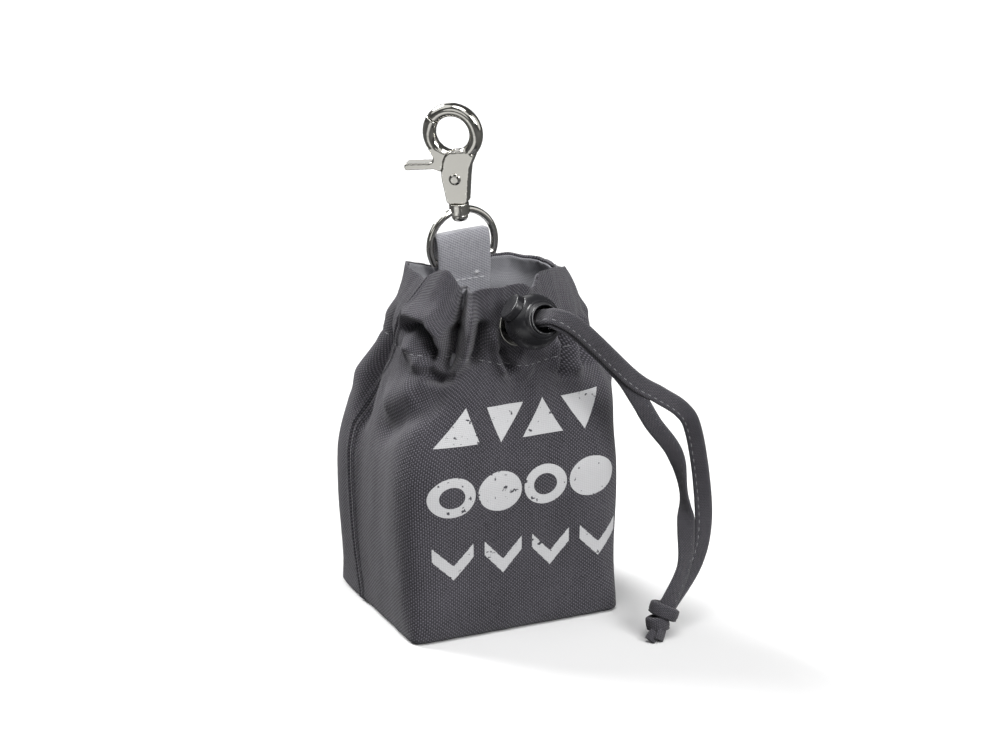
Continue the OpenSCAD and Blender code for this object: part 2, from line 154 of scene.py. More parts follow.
def grid_object(name, points, uv, wrap=False):
    """Object from a rows x cols x 3 array; uv is rows x (cols + wrap) x 2."""
    rows, cols = points.shape[:2]
    faces, corners = grid_faces(rows, cols, wrap)
    corners = np.asarray(corners)
    uvs = uv[corners[..., 0], corners[..., 1]]
    return make_object(name, points.reshape(-1, 3), faces, uvs)


def add_caps(obj, *caps, recalc=True):
    """Closes rings of a mesh. Each cap is the order of its vertex numbers."""
    bm = bmesh.new()
    bm.from_mesh(obj.data)
    bm.verts.ensure_lookup_table()
    for cap in caps:
        bm.faces.new([bm.verts[i] for i in cap])
    if recalc:
        bmesh.ops.recalc_face_normals(bm, faces=bm.faces)
    bm.to_mesh(obj.data)
    bm.free()
    return obj


def closed_loft(name, grid, uv):
    """Solid through a stack of closed rings, with both ends capped."""
    count, size = grid.shape[:2]
    obj = grid_object(name, grid, uv, wrap=True)
    return add_caps(obj, range(size), range(count * size - 1, (count - 1) * size - 1, -1))


def apply_modifiers(obj):
    deps = bpy.context.evaluated_depsgraph_get()
    mesh = bpy.data.meshes.new_from_object(obj.evaluated_get(deps))
    obj.modifiers.clear()
    obj.data = mesh
    return obj


def join_meshes(name, objects):
    """One object from several, keeping their UVs and materials."""
    first = objects[0]
    with bpy.context.temp_override(active_object=first, object=first, selected_objects=objects,
                                   selected_editable_objects=objects):
        bpy.ops.object.join()
    first.name = name
    first.data.name = name
    return first


def unit(vector):
    vector = np.asarray(vector, float)
    return vector / np.linalg.norm(vector, axis=-1, keepdims=True)


def travelled(points):
    """Distance along a line of points, at each point."""
    return np.concatenate([[0], np.cumsum(np.linalg.norm(np.diff(points, axis=0), axis=1))])


def catmull(points, t):
    """Smooth point at parameter t (0 to len - 1) of a list of points."""
    pts = np.asarray(points, float)
    last = len(pts) - 1
    i = int(min(math.floor(t), last - 1))
    f = t - i
    p0, p1, p2, p3 = pts[max(i - 1, 0)], pts[i], pts[i + 1], pts[min(i + 2, last)]
    return 0.5 * (2 * p1 + (p2 - p0) * f + (2 * p0 - 5 * p1 + 4 * p2 - p3) * f * f
                  + (3 * p1 - p0 - 3 * p2 + p3) * f ** 3)


def keyed(f, keys):
    """Smooth curve through (position, value) keys, at positions f; it repeats every whole turn."""
    xs = np.array([k[0] for k in keys])
    ys = np.array([k[1] for k in keys], float)
    n = len(xs)
    f = np.mod(np.asarray(f, float), 1)
    x_all = np.concatenate([xs - 1, xs, xs + 1])
    y_all = np.concatenate([ys, ys, ys])
    i = np.clip(np.searchsorted(x_all, f, side="right") - 1, n - 1, 2 * n)
    x0, x1 = x_all[i], x_all[i + 1]
    t = (f - x0) / (x1 - x0)
    m0 = (y_all[i + 1] - y_all[i - 1]) / (x_all[i + 1] - x_all[i - 1])
    m1 = (y_all[i + 2] - y_all[i]) / (x_all[i + 2] - x_all[i])
    h = x1 - x0
    return ((2 * t ** 3 - 3 * t ** 2 + 1) * y_all[i] + (t ** 3 - 2 * t ** 2 + t) * h * m0
            + (3 * t ** 2 - 2 * t ** 3) * y_all[i + 1] + (t ** 3 - t ** 2) * h * m1)


# ---------- The bag's wall as one surface ----------
# c is the share of the way round: 0 left seam, 0.25 front, 0.5 right seam, 0.75 back.
# f is the same share, but measured round the outline, so the seams can wander.

SEAM_KEYS = [(0.0, -0.040), (0.045, -0.046), (0.075, -0.054), (0.095, -0.045), (0.112, -0.005),
             (0.128, 0.015), (0.145, 0.035)]
RIM_HEIGHT = [(0.00, 139.5), (0.03, 142.6), (0.055, 142.5), (0.085, 139.5), (0.112, 136.8), (0.130, 135.2),
              (0.155, 137.5), (0.20, 138.6), (0.25, 139), (0.270, 136.5), (0.285, 137), (0.308, 140.5),
              (0.340, 140.8), (0.38, 139.5), (0.42, 138), (0.47, 135.5), (0.53, 134.5), (0.60, 134),
              (0.66, 134), (0.70, 134), (0.745, 133), (0.79, 132.2), (0.835, 135.0), (0.87, 138.0),
              (0.91, 139.2), (0.95, 138.0), (0.98, 137.4)]
RIM_LEAN = [(0.00, 12), (0.06, 13), (0.10, 10), (0.13, 6.5), (0.18, 2), (0.25, 0.5), (0.285, 3.5),
            (0.32, 7), (0.36, 7.5), (0.42, 9), (0.47, 11), (0.53, 9), (0.60, 5), (0.66, 1.5), (0.70, 2),
            (0.75, 1.5), (0.80, 1), (0.845, 2.5), (0.90, 5.5), (0.95, 10.5)]


def outline(z, count=1600):
    """Smooth outline of the wall at height z, from the left middle, anticlockwise."""
    a = np.radians(180 + np.arange(count + 1) * 360 / count)
    g = gather(z)
    low = math.exp(-(z / FOOT_REACH) ** 2)
    corner = FOOT_CORNER * math.exp(-z / FOOT_CORNER_REACH)
    power = 2 / mix(BASE_SQUARENESS + corner, NECK_SQUARENESS, g)
    swell = BELLY * math.sin(math.pi * min(z / BELLY_TOP_Z, 1.0)) ** 0.8 + WALL_EASE
    half_w = mix(BASE_HALF[0], NECK_HALF[0], g) + swell - FOOT_NARROWER * low
    half_d = mix(BASE_HALF[1], NECK_HALF[1], g) + swell + FOOT_DEEPER * low
    x = half_w * np.sign(np.cos(a)) * np.abs(np.cos(a)) ** power
    y = half_d * np.sign(np.sin(a)) * np.abs(np.sin(a)) ** power
    turn = BASE_TURN * (1 - g)
    turned_x = NECK_X * g + x * math.cos(turn) - y * math.sin(turn)
    turned_y = x * math.sin(turn) + y * math.cos(turn)
    return np.stack([turned_x, turned_y], 1)


SEAM_SPREAD = 0.13
RIGHT_SEAM_LIMIT = -0.05


def seam_shift(z):
    zs = [k[0] for k in SEAM_KEYS]
    return np.interp(z, zs, [k[1] for k in SEAM_KEYS])


def warp(c, z):
    """Outline share f of column c at height z: both seams wander, the middles stay."""
    left = np.exp(-((np.mod(c + 0.5, 1) - 0.5) / SEAM_SPREAD) ** 2)
    right = np.exp(-((c - 0.5) / SEAM_SPREAD) ** 2)
    shift = seam_shift(z)
    return c + left * shift - right * np.clip(shift, RIGHT_SEAM_LIMIT, 0.0)


LEVEL_STEP = 1 * MM
LEVEL_COUNT = 160
RING_POINTS = 800


def smooth_wall(cols, heights):
    """Grid of wall points at columns c and per-column heights, its outline shares and arc lengths."""
    rows = heights.shape[0]
    pts = np.zeros((rows, len(cols), 3))
    share = np.zeros((rows, len(cols)))
    per = np.zeros((rows, len(cols)))
    levels = np.linspace(0, LEVEL_COUNT * LEVEL_STEP, LEVEL_COUNT + 1)
    rings, lengths = [], []
    for z in levels:
        o = outline(z)
        d = travelled(o)
        s = np.linspace(0, 1, RING_POINTS + 1) * d[-1]
        rings.append(np.stack([np.interp(s, d, o[:, 0]), np.interp(s, d, o[:, 1])], 1))
        lengths.append(d[-1])
    rings = np.array(rings)
    lengths = np.array(lengths)
    for j in range(rows):
        z = heights[j]
        f = warp(cols, z)
        level = np.clip(z / LEVEL_STEP, 0, LEVEL_COUNT - 0.001)
        k = level.astype(int)
        kf = level - k
        q = np.mod(f, 1) * RING_POINTS
        i = q.astype(int)
        qf = q - i
        low = rings[k, i] * (1 - qf)[:, None] + rings[k, i + 1] * qf[:, None]
        high = rings[k + 1, i] * (1 - qf)[:, None] + rings[k + 1, i + 1] * qf[:, None]
        pts[j, :, :2] = low * (1 - kf)[:, None] + high * kf[:, None]
        pts[j, :, 2] = z
        share[j] = f
        per[j] = lengths[k] * (1 - kf) + lengths[k + 1] * kf
    return pts, share, per


def grid_normals(p):
    du = np.roll(p, -1, 1) - np.roll(p, 1, 1)
    dv = np.empty_like(p)
    dv[1:-1] = p[2:] - p[:-2]
    dv[0] = p[1] - p[0]
    dv[-1] = p[-1] - p[-2]
    n = np.cross(du, dv)
    return n / np.maximum(np.linalg.norm(n, axis=2, keepdims=True), 1e-12)


# ---------- Folds ----------
# A fold runs along points (outline share in %, height in mm). Depth is in mm, below zero for a crease.

FOLD_METRE = 0.240
FOLD_END_DEPTH = 0.12
FRONT_FOLD_GAIN = 1.75
SIDE_FOLD_GAIN = 1.45


def fold_field(share, z, points, depth, width, fade=0.22):
    """Height field of one fold, in metres."""
    x = share * FOLD_METRE
    pts = np.array([(p[0] / 100 * FOLD_METRE, p[1] * MM) for p in points])
    best = np.full(share.shape, 1e9)
    along = np.zeros(share.shape)
    seg = np.linalg.norm(np.diff(pts, axis=0), axis=1)
    total = seg.sum()
    start = 0.0
    for a, b, length in zip(pts[:-1], pts[1:], seg):
        for turn in (-FOLD_METRE, 0, FOLD_METRE):
            dx, dz = x + turn - a[0], z - a[1]
            t = np.clip((dx * (b[0] - a[0]) + dz * (b[1] - a[1])) / length ** 2, 0, 1)
            d = np.hypot(dx - t * (b[0] - a[0]), dz - t * (b[1] - a[1]))
            closer = d < best
            best = np.where(closer, d, best)
            along = np.where(closer, start + t * length, along)
        start += length
    u = along / total
    ends = mix(FOLD_END_DEPTH, 1, smooth(u / fade) * smooth((1 - u) / fade))
    return depth * MM * ends * np.exp(-(best / (width * MM)) ** 2)


FRONT_FOLDS = [
    # roll beside the left seam, which curls over a hollow
    ([(1.2, 119.5), (5.0, 122.0), (8.0, 119.5), (9.3, 114), (8.8, 107)], -4.6, 2.3),
    ([(0.5, 125), (4.0, 127.5), (8.0, 127), (10.4, 121), (10.6, 114), (9.8, 105)], 3.0, 2.8),
    ([(2.5, 112), (5.0, 113), (7.0, 109), (7.4, 104)], 2.6, 4.0),
    # deep hollow between the roll and the next fold
    ([(13.2, 124), (12.6, 117), (12.0, 110), (11.0, 106)], -7.5, 3.4),
    ([(8.0, 105), (11.0, 104.2), (13.6, 105.5)], -4.5, 2.0),
    # crease from the notch in the rim, and the fold at its right
    ([(13.3, 139), (13.7, 131), (13.5, 124), (13.0, 118)], -5.0, 2.0),
    ([(15.4, 136), (15.3, 125), (14.8, 117), (14.6, 111), (13.0, 106.5), (10.4, 102.5)], 3.0, 2.0),
    # hollow and fold between the notch and the lock
    ([(18.0, 127), (17.4, 119), (16.8, 113), (15.6, 107)], -4.8, 2.4),
    ([(19.0, 124), (19.6, 117), (20.8, 109), (22.4, 102)], 3.0, 2.0),
    ([(20.2, 116), (21.6, 109), (23.4, 103)], -3.4, 1.9),
    ([(23.5, 112), (25.0, 106), (27.0, 103)], 1.4, 3.0),
    # folds right of the lock
    ([(33.9, 119), (33.2, 111), (32.4, 103), (32.0, 97)], -3.2, 2.2),
    ([(31.4, 116), (31.2, 108), (31.0, 101)], 2.0, 2.2),
    ([(36.0, 116), (35.2, 108), (34.4, 98)], 2.2, 2.6),
    ([(38.6, 118), (37.6, 109), (36.6, 100)], -3.0, 2.6),
    ([(41.5, 121), (40.8, 110), (39.8, 99)], 2.0, 3.0),
    # long soft crease across the front left corner, with the bulge above it
    ([(0.6, 76), (4.2, 82.5), (8.5, 91), (11.4, 97.5), (12.8, 103)], -1.7, 4.6),
    ([(0.5, 88), (4.6, 95), (7.6, 101)], 1.7, 6.0),
]

SIDE_FOLDS = [
    ([(44.5, 126), (44.0, 118), (43.6, 104), (43.0, 88)], 2.4, 3.0),
    ([(47.5, 126), (47.5, 118), (47.0, 104), (46.5, 92)], -4.2, 2.6),
    ([(52.0, 126), (52.5, 118), (53.0, 102), (53.0, 84)], 2.6, 3.6),
    ([(56.0, 125), (56.5, 118), (57.0, 102), (57.5, 88)], -4.4, 2.8),
    ([(60.0, 124), (60.2, 118), (60.8, 104), (61.5, 86)], 2.2, 3.2),
    ([(63.8, 123), (64.0, 117), (64.6, 104), (65.2, 90)], -4.0, 2.6),
    ([(68.5, 123), (68.2, 116), (68.0, 102), (67.6, 82)], 2.4, 3.6),
    ([(72.6, 123), (72.5, 117), (72.0, 105), (71.5, 92)], -3.8, 2.6),
    ([(77.0, 123), (76.8, 117), (76.6, 104), (77.0, 84)], 2.2, 3.4),
    ([(81.0, 124), (81.2, 117), (81.0, 104), (80.4, 90)], -4.2, 2.8),
    ([(85.2, 125), (85.0, 118), (84.6, 104), (84.4, 86)], 2.4, 3.2),
    ([(89.0, 126), (88.6, 119), (88.2, 105), (88.5, 90), (89.5, 62)], -3.2, 3.2),
    ([(92.5, 128), (92.2, 120), (92.0, 104), (91.2, 84)], 2.2, 3.6),
    ([(96.4, 130), (96.2, 124), (95.6, 112), (95.2, 96), (96.0, 70)], -2.6, 3.0),
]


def soft_noise(share, z, seed, count, amp, across, up):
    """Smooth wrinkles from a few seeded waves, periodic round the bag."""
    rng = np.random.RandomState(seed)
    out = np.zeros(share.shape)
    for _ in range(count):
        k = rng.randint(across[0], across[1])
        m = rng.uniform(up[0], up[1])
        ph = rng.uniform(0, 2 * math.pi, 2)
        out += np.sin(2 * math.pi * k * share + ph[0] + m * z / MM + 1.3 * np.sin(0.09 * z / MM + ph[1]))
    return amp * MM * out / math.sqrt(count)


# Broad swells: share of the way round, height, spread round, spread up, amount in mm
SWELLS = [(0.43, 0.090, 0.060, 0.012, 3.0), (0.45, 0.118, 0.080, 0.013, -4.5),
          (0.90, 0.090, 0.060, 0.020, 2.0), (0.89, 0.124, 0.060, 0.010, -2.2),
          (0.25, 0.050, 0.120, 0.040, 0.8), (0.75, 0.050, 0.120, 0.040, 1.5),
          (0.97, 0.070, 0.030, 0.040, -2.0), (0.53, 0.060, 0.040, 0.040, -2.0),
          (0.93, 0.048, 0.040, 0.036, 2.6), (0.03, 0.055, 0.035, 0.035, -1.2)]
CHANNEL_RISE = 12 * MM
CHANNEL_SPREAD = 7 * MM
CHANNEL_SWELL = 0.7 * MM
GROOVE_SPREAD = 1.2 * MM
GROOVE_DEPTH = 0.5 * MM


def wall_relief(share, z):
    """How far the cloth stands out from the smooth wall, in metres."""
    out = np.zeros(share.shape)
    for points, depth, width in FRONT_FOLDS:
        out += fold_field(share, z, points, depth * FRONT_FOLD_GAIN, width)
    for points, depth, width in SIDE_FOLDS:
        out += fold_field(share, z, points, depth * SIDE_FOLD_GAIN, width)
    g = gather(z)
    # shoulders that puff out under the gathers, and the drawn-in neck above them
    for middle, height, spread, rise, amount in SWELLS:
        turn = np.mod(share - middle + 0.5, 1) - 0.5
        out += amount * MM * np.exp(-(turn / spread) ** 2 - ((z - height) / rise) ** 2)
    out += soft_noise(share, z, 3, 9, 0.45, (5, 17), (-0.05, 0.05)) * (0.25 + 0.75 * g)
    out += soft_noise(share, z, 11, 9, 0.16, (16, 42), (-0.12, 0.12)) * (0.4 + 0.6 * g)
    # cord channel: slightly swollen between its stitches and the mouth
    channel = np.exp(-((z - (STITCH_Z + CHANNEL_RISE)) / CHANNEL_SPREAD) ** 2)
    groove = np.exp(-((z - stitch_height(share)) / GROOVE_SPREAD) ** 2)
    out += CHANNEL_SWELL * channel - GROOVE_DEPTH * groove
    return out


def stitch_height(share):
    """Height of the stitches that close the cord channel; they dip under the lock."""
    s = np.mod(share, 1)
    dip = np.exp(-((s - 0.26) / 0.075) ** 2)
    return STITCH_Z + 0.6 * MM - 5.0 * MM * dip


def lean_in(pts, c, z, rim_z):
    """Bends the mouth inwards above the cord, as the drawn cord makes the cloth do."""
    start = STITCH_Z + 7 * MM
    t = np.clip((z - start) / np.maximum(rim_z - start, 1e-4), 0, 1)
    lean = keyed(c, RIM_LEAN) * MM * t ** 1.6
    centre = np.array([NECK_X, 0.0])
    toward = unit(centre - pts[..., :2])
    pts[..., :2] += toward * lean[..., None]
    return pts


WELT_HEIGHT = 0.55 * MM
WELT_HALF = 1.7 * MM
WELT_GROOVE = 0.5 * MM
WELT_GROOVE_HALF = 0.35 * MM
FOOT_TUCK = 1.3 * MM
FOOT_ROUND = 1.8 * MM
WEAVE_BLUR_COLS = 9


def build_wall():
    """The finished outer surface as a grid, with its UV in metres and the heights of its points."""
    cols = np.arange(WALL_COLS) / WALL_COLS
    ruffle = 0.15 * MM * np.sin(2 * math.pi * cols * 17 + 1.0)
    rim = keyed(cols, RIM_HEIGHT) * MM + ruffle
    t = np.linspace(0, 1, WALL_ROWS)[:, None]
    foot = FLOOR_Z + 0.25 * MM
    heights = foot + (rim[None, :] - foot) * t
    pts, share, per = smooth_wall(cols, heights)
    normal = grid_normals(pts)
    c = np.broadcast_to(cols, share.shape)
    relief = wall_relief(share, heights)
    # seam: a low welt either side of the joint of the panels
    for centre in (0.0, 0.5):
        d = (np.mod(c - centre + 0.5, 1) - 0.5) * per
        relief += WELT_HEIGHT * np.exp(-(np.abs(d) / WELT_HALF) ** 6)
        relief -= WELT_GROOVE * np.exp(-(d / WELT_GROOVE_HALF) ** 2)
    # the foot turns under to the base seam
    relief -= FOOT_TUCK * np.clip(1 - (heights - foot) / FOOT_ROUND, 0, 1) ** 2
    pts = pts + normal * relief[..., None]
    pts = lean_in(pts, c, heights, rim[None, :])
    uv = np.zeros((WALL_ROWS, WALL_COLS + 1, 2))
    uv[..., 0] = np.linspace(0, WALL_GIRTH, WALL_COLS + 1)[None, :]
    rise = np.linalg.norm(np.diff(pts, axis=0), axis=2)
    travel = np.concatenate([np.zeros((1, WALL_COLS)), np.cumsum(rise, axis=0)], 0)
    travel = blurred(travel, WEAVE_BLUR_COLS)
    uv[..., 1] = np.concatenate([travel, travel[:, :1]], 1)
    return pts, uv, heights


def wall_sampler(points, heights):
    """Function giving the wall's point and normal at column share c and height z."""
    normals = grid_normals(points)
    rows, cols = heights.shape

    def sample(c, z):
        q = (c % 1.0) * cols
        i = int(q) % cols
        k = (i + 1) % cols
        qf = q - int(q)
        column = heights[:, i] * (1 - qf) + heights[:, k] * qf
        r = float(np.interp(z, column, np.arange(rows)))
        j = int(min(r, rows - 2))
        rf = r - j
        p = ((points[j, i] * (1 - qf) + points[j, k] * qf) * (1 - rf)
             + (points[j + 1, i] * (1 - qf) + points[j + 1, k] * qf) * rf)
        n = ((normals[j, i] * (1 - qf) + normals[j, k] * qf) * (1 - rf)
             + (normals[j + 1, i] * (1 - qf) + normals[j + 1, k] * qf) * rf)
        return p, n / np.linalg.norm(n)
    return sample


# ---------- Pieces of the bag ----------

def panel_object(name, pts, uv, first, last):
    """One canvas panel between two columns, given its thickness."""
    idx = np.arange(first, last + 1)
    p = pts[:, idx % WALL_COLS]
    obj = grid_object(name, p, uv[:, idx])
    solid = obj.modifiers.new("thickness", "SOLIDIFY")
    solid.thickness = CANVAS_T
    solid.offset = -1
    return apply_modifiers(obj)


def blurred(values, spread):
    """Gaussian blur round the bag, spread in columns."""
    cols = values.shape[1]
    d = np.minimum(np.arange(cols), cols - np.arange(cols))
    kernel = np.exp(-0.5 * (d / spread) ** 2)
    kernel /= kernel.sum()
    shape = (1, cols) + (1,) * (values.ndim - 2)
    spectrum = np.fft.fft(values, axis=1) * np.fft.fft(kernel).reshape(shape)
    return np.real(np.fft.ifft(spectrum, axis=1))


def widest(values, cols, rows):
    """Largest value within a few columns and rows of each point."""
    out = values.copy()
    for k in range(-cols, cols + 1, 2):
        out = np.maximum(out, np.roll(values, k, 1))
    tall = out.copy()
    for k in range(1, rows + 1):
        tall[k:] = np.maximum(tall[k:], out[:-k])
        tall[:-k] = np.maximum(tall[:-k], out[k:])
    return tall


def lining_object(pts, heights):
    """Inner bag: follows the canvas at the mouth, hangs smooth inside its folds, closed by a floor."""
    step = 2
    rows = np.arange(int(WALL_ROWS * 0.10), WALL_ROWS, step)
    if rows[-1] != WALL_ROWS - 1:
        rows = np.append(rows, WALL_ROWS - 1)
    cols = np.arange(0, WALL_COLS, step)
    soft = blurred(pts, 14)
    normal = grid_normals(soft)
    hollow = np.maximum(((soft - pts) * normal).sum(2), 0)
    room = blurred(widest(hollow, 14, 8), 5)
    depth = heights[-1][None, :] - heights
    near_rim = 1 - smooth(depth / 0.012)
    base = soft + (pts - soft) * near_rim[..., None]
    inset = mix(room + CANVAS_T + 1.2 * MM, CANVAS_T + 0.35 * MM, near_rim)
    inner = base - normal * inset[..., None]
    inner[..., 2] -= 0.45 * MM * near_rim
    grid = inner[np.ix_(rows, cols)]
    floor_z = BASE_TOP + 1.6 * MM
    rings = []
    mouth = grid[0]
    centre = mouth.mean(0)
    floor_rings = 9
    for k in range(floor_rings, 0, -1):
        s = k / floor_rings
        ring = centre + (mouth - centre) * (0.02 + 0.96 * s)
        ring[:, 2] = floor_z + (mouth[:, 2] - floor_z) * s ** 6
        rings.insert(0, ring)
    grid = np.concatenate([np.array(rings), grid], 0)
    n_rows, n_cols = grid.shape[:2]
    uv = np.zeros((n_rows, n_cols + 1, 2))
    uv[..., 0] = np.linspace(0, 0.30, n_cols + 1)[None, :]
    uv[..., 1] = np.linspace(0, 0.15, n_rows)[:, None]
    obj = grid_object("bag_lining", grid, uv, wrap=True)
    add_caps(obj, range(n_cols - 1, -1, -1), recalc=False)
    solid = obj.modifiers.new("thickness", "SOLIDIFY")
    solid.thickness = LINING_T
    solid.offset = -1
    return apply_modifiers(obj)


def base_object():
    """Boxed base: a rounded slab with a soft edge that meets the walls."""
    count = 240
    o = outline(0.0, count)[:-1]
    inner = [0.03 + 0.90 * k / 8 for k in range(8)]
    edge = [(0.940, 0.0), (0.955, 0.2), (0.960, 0.9), (0.955, 1.7), (0.945, 2.2)]
    profile = [(s, 0.0) for s in inner] + edge + [(s, 2.3) for s in reversed(inner)]
    rings = [np.c_[o * s, np.full(count, FLOOR_Z + h * MM)] for s, h in profile]
    grid = np.array(rings)
    uv = np.zeros((len(rings), count + 1, 2))
    closed = np.concatenate([grid, grid[:, :1]], 1)
    uv[..., 0] = closed[..., 0]
    uv[..., 1] = closed[..., 1]
    return closed_loft("bag_base", grid, uv)


# ---------- Thread ----------

def tube(points, radius, normals, sides=6):
    """Vertices and faces of a closed round tube through points."""
    pts = np.asarray(points, float)
    n = len(pts)
    along = unit(np.gradient(pts, axis=0))
    verts = []
    for i in range(n):
        up = np.asarray(normals[i], float)
        side = np.cross(along[i], up)
        side /= max(np.linalg.norm(side), 1e-9)
        up = np.cross(side, along[i])
        r = radius * (0.55 if i in (0, n - 1) else 1.0)
        for k in range(sides):
            a = 2 * math.pi * k / sides
            verts.append(pts[i] + side * r * math.cos(a) + up * r * math.sin(a))
    faces = []
    for i in range(n - 1):
        for k in range(sides):
            m = (k + 1) % sides
            faces.append((i * sides + k, (i + 1) * sides + k, (i + 1) * sides + m, i * sides + m))
    faces.append(tuple(range(sides)))
    faces.append(tuple((n - 1) * sides + k for k in range(sides - 1, -1, -1)))
    return verts, faces


def thread_object(name, stitches, radius):
    """All stitches of one seam as one object; each is (points, normals)."""
    verts, faces = [], []
    for points, normals in stitches:
        v, f = tube(points, radius, normals)
        offset = len(verts)
        verts.extend(v)
        faces.extend([tuple(i + offset for i in q) for q in f])
    return make_object(name, verts, faces)


def stitch_on_wall(sample, path, start, end):
    """One stitch along path(t) -> (c, z), sunk at both ends and proud in the middle."""
    points, normals = [], []
    for k in range(5):
        u = k / 4
        c, z = path(mix(start, end, u))
        p, n = sample(c, z)
        lift = mix(-0.14, 0.10, math.sin(math.pi * u)) * MM
        points.append(p + n * lift)
        normals.append(n)
    return points, normals


THREAD_R = 0.13 * MM
SEAM_STITCH_OFFSET = 0.0062


def channel_stitches(sample):
    """Running stitch right round the bag, under the cord."""
    count = 80
    dash = 1.7 / 3
    path = lambda t: (t / count, float(stitch_height(warp(t / count, STITCH_Z))))
    dashes = [stitch_on_wall(sample, path, i, i + dash) for i in range(count)]
    return thread_object("thread_channel", dashes, THREAD_R)


def seam_stitches(sample):
    """A row of stitches on each side of both seams, up to the channel."""
    bottom, top, pitch, dash = 6.0, 126, 3.4, 2.3
    dashes = []
    for centre in (0.0, 0.5):
        for side in (-1, 1):
            c = centre + side * SEAM_STITCH_OFFSET
            path = lambda t, c=c: (c, t * MM)
            z = bottom
            while z < top:
                dashes.append(stitch_on_wall(sample, path, z, z + dash))
                z += pitch
    return thread_object("thread_side_seams", dashes, THREAD_R)


# ---------- Webbing tab ----------

TAB_TILT = math.radians(2.6)
TAB_SEWN_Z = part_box("tab_stitching")[0].z
TAB_X = (TAB_HIGH.x + TAB_LOW.x) / 2
TAB_HALF_W = (TAB_HIGH.x - TAB_LOW.x) / 2


def tab_section():
    """Side view of the webbing, as (y, z) points from the sewn front end over the fold to the back."""
    y0 = (TAB_LOW.y + TAB_HIGH.y) / 2
    top = TAB_HIGH.z
    low = TAB_LOW.z
    half = (TAB_HIGH.y - TAB_LOW.y) / 2 - 0.7 * MM
    h = half / MM
    side = [(0.52 * h, low), (0.60 * h, TAB_SEWN_Z), (0.66 * h, TAB_SEWN_Z + 2 * MM),
            (0.92 * h, BAR_POS.z - 1.5 * MM), (h, BAR_POS.z + 3 * MM), (0.96 * h, top - 3.5 * MM),
            (0.62 * h, top - 0.9 * MM)]
    keys = [(-y, z) for y, z in side] + [(0, top - 0.55 * MM)] + side[::-1]
    pts = [(y0 + y * MM, z) for y, z in keys]
    return np.array([catmull(pts, t) for t in np.linspace(0, len(pts) - 1, 90)])


def tab_object():
    """Webbing folded round the bar, with rounded selvedges and a slight wave."""
    sec = tab_section()
    d = unit(np.gradient(sec, axis=0))
    normal = np.stack([-d[:, 1], d[:, 0]], 1)
    length = travelled(sec)
    half_t = 0.62 * MM
    across = 22
    face = [(u, 1.0 - 0.75 * abs(u) ** 14) for u in (mix(-1, 1, k / across) for k in range(across + 1))]
    ring = face + [(-u, -v) for u, v in face]
    grid = np.zeros((len(sec), len(ring), 3))
    uv = np.zeros((len(sec), len(ring) + 1, 2))
    for i in range(len(sec)):
        for k, (u, v) in enumerate(ring):
            wave = 0.054 * MM * math.sin(9 * length[i] / 0.02 + 3 * u)
            off = normal[i] * (v * half_t + wave)
            x = u * (TAB_HALF_W + 0.3 * MM)
            h = sec[i, 1] + off[1]
            tilt = TAB_TILT * smooth((h - TAB_SEWN_Z) / 0.012)
            grid[i, k] = (TAB_X + x - tilt * (h - TAB_SEWN_Z), sec[i, 0] + off[0], h + tilt * x)
            uv[i, k] = (u * TAB_HALF_W, length[i])
        uv[i, len(ring)] = uv[i, 0]
    return closed_loft("tab_webbing", grid, uv)


def tab_stitches():
    """Row of stitches across the foot of the tab, and a small star above it."""
    z = TAB_SEWN_Z + 0.5 * MM
    sec = tab_section()
    front = sec[: len(sec) // 3]
    face = lambda h: float(np.interp(h, front[:, 1], front[:, 0])) - 0.66 * MM
    looks = [(0, -1, 0)] * 5
    pitch = 2.7 * MM
    dashes = []
    x = -TAB_HALF_W + 1.4 * MM
    while x < TAB_HALF_W - 2.5 * MM:
        lift = [0.14 * MM * math.sin(math.pi * k / 4) for k in range(5)]
        dashes.append(([(TAB_X + x + k * 0.5 * MM, face(z) - lift[k], z) for k in range(5)], looks))
        x += pitch
    cross_x = TAB_X + 5.0 * MM
    cross_z = z + 2.4 * MM
    for turn in range(4):
        a = math.pi * turn / 4
        pts = [(cross_x + math.cos(a) * q * MM, face(cross_z) - 0.16 * MM * (1 - abs(q) / 1.4),
                cross_z + math.sin(a) * q * MM) for q in (-1.3, -0.6, 0, 0.6, 1.3)]
        dashes.append((pts, looks))
    return thread_object("thread_tab", dashes, 0.17 * MM)


# ---------- Flat cord ----------

BACK_UV_SHIFT = 2.1
STITCH_LINE = 0.55


def flat_cord(name, path, faces_to, width, thick, steps):
    """Folded cloth cord along a smooth path; faces_to gives the way its broad face looks along the path."""
    last = len(path) - 1
    ts = np.linspace(0, last, steps)
    pts = np.array([catmull(path, t) for t in ts])
    look = np.array([catmull(faces_to, t / last * (len(faces_to) - 1)) for t in ts])
    along = unit(np.gradient(pts, axis=0))
    across = unit(np.cross(along, look))
    up = np.cross(across, along)
    length = travelled(pts)
    ring = cord_section()
    grid = np.zeros((steps, len(ring), 3))
    uv = np.zeros((steps, len(ring) + 1, 2))
    for i in range(steps):
        for k, (u, v, w) in enumerate(ring):
            grid[i, k] = pts[i] + across[i] * u * width / 2 + up[i] * v * thick / 2
            uv[i, k] = (w * width, length[i])
        uv[i, len(ring)] = ((ring[0][2] + BACK_UV_SHIFT) * width, length[i])
    return closed_loft(name, grid, uv), (pts, across, up, length)


def cord_section():
    """Cross-section of the cord: folded edge at one side, two stitched layers at the other."""
    top = []
    for k in range(13):
        u = mix(-1, 1, k / 12)
        swell = 1 - 0.85 * abs(u) ** 8
        dip = 0.22 * math.exp(-((u - STITCH_LINE) / 0.13) ** 2)
        top.append((u, swell - dip))
    ring = [(u, v, u) for u, v in top]
    ring += [(u, -v, BACK_UV_SHIFT - u) for u, v in reversed(top)]
    return ring


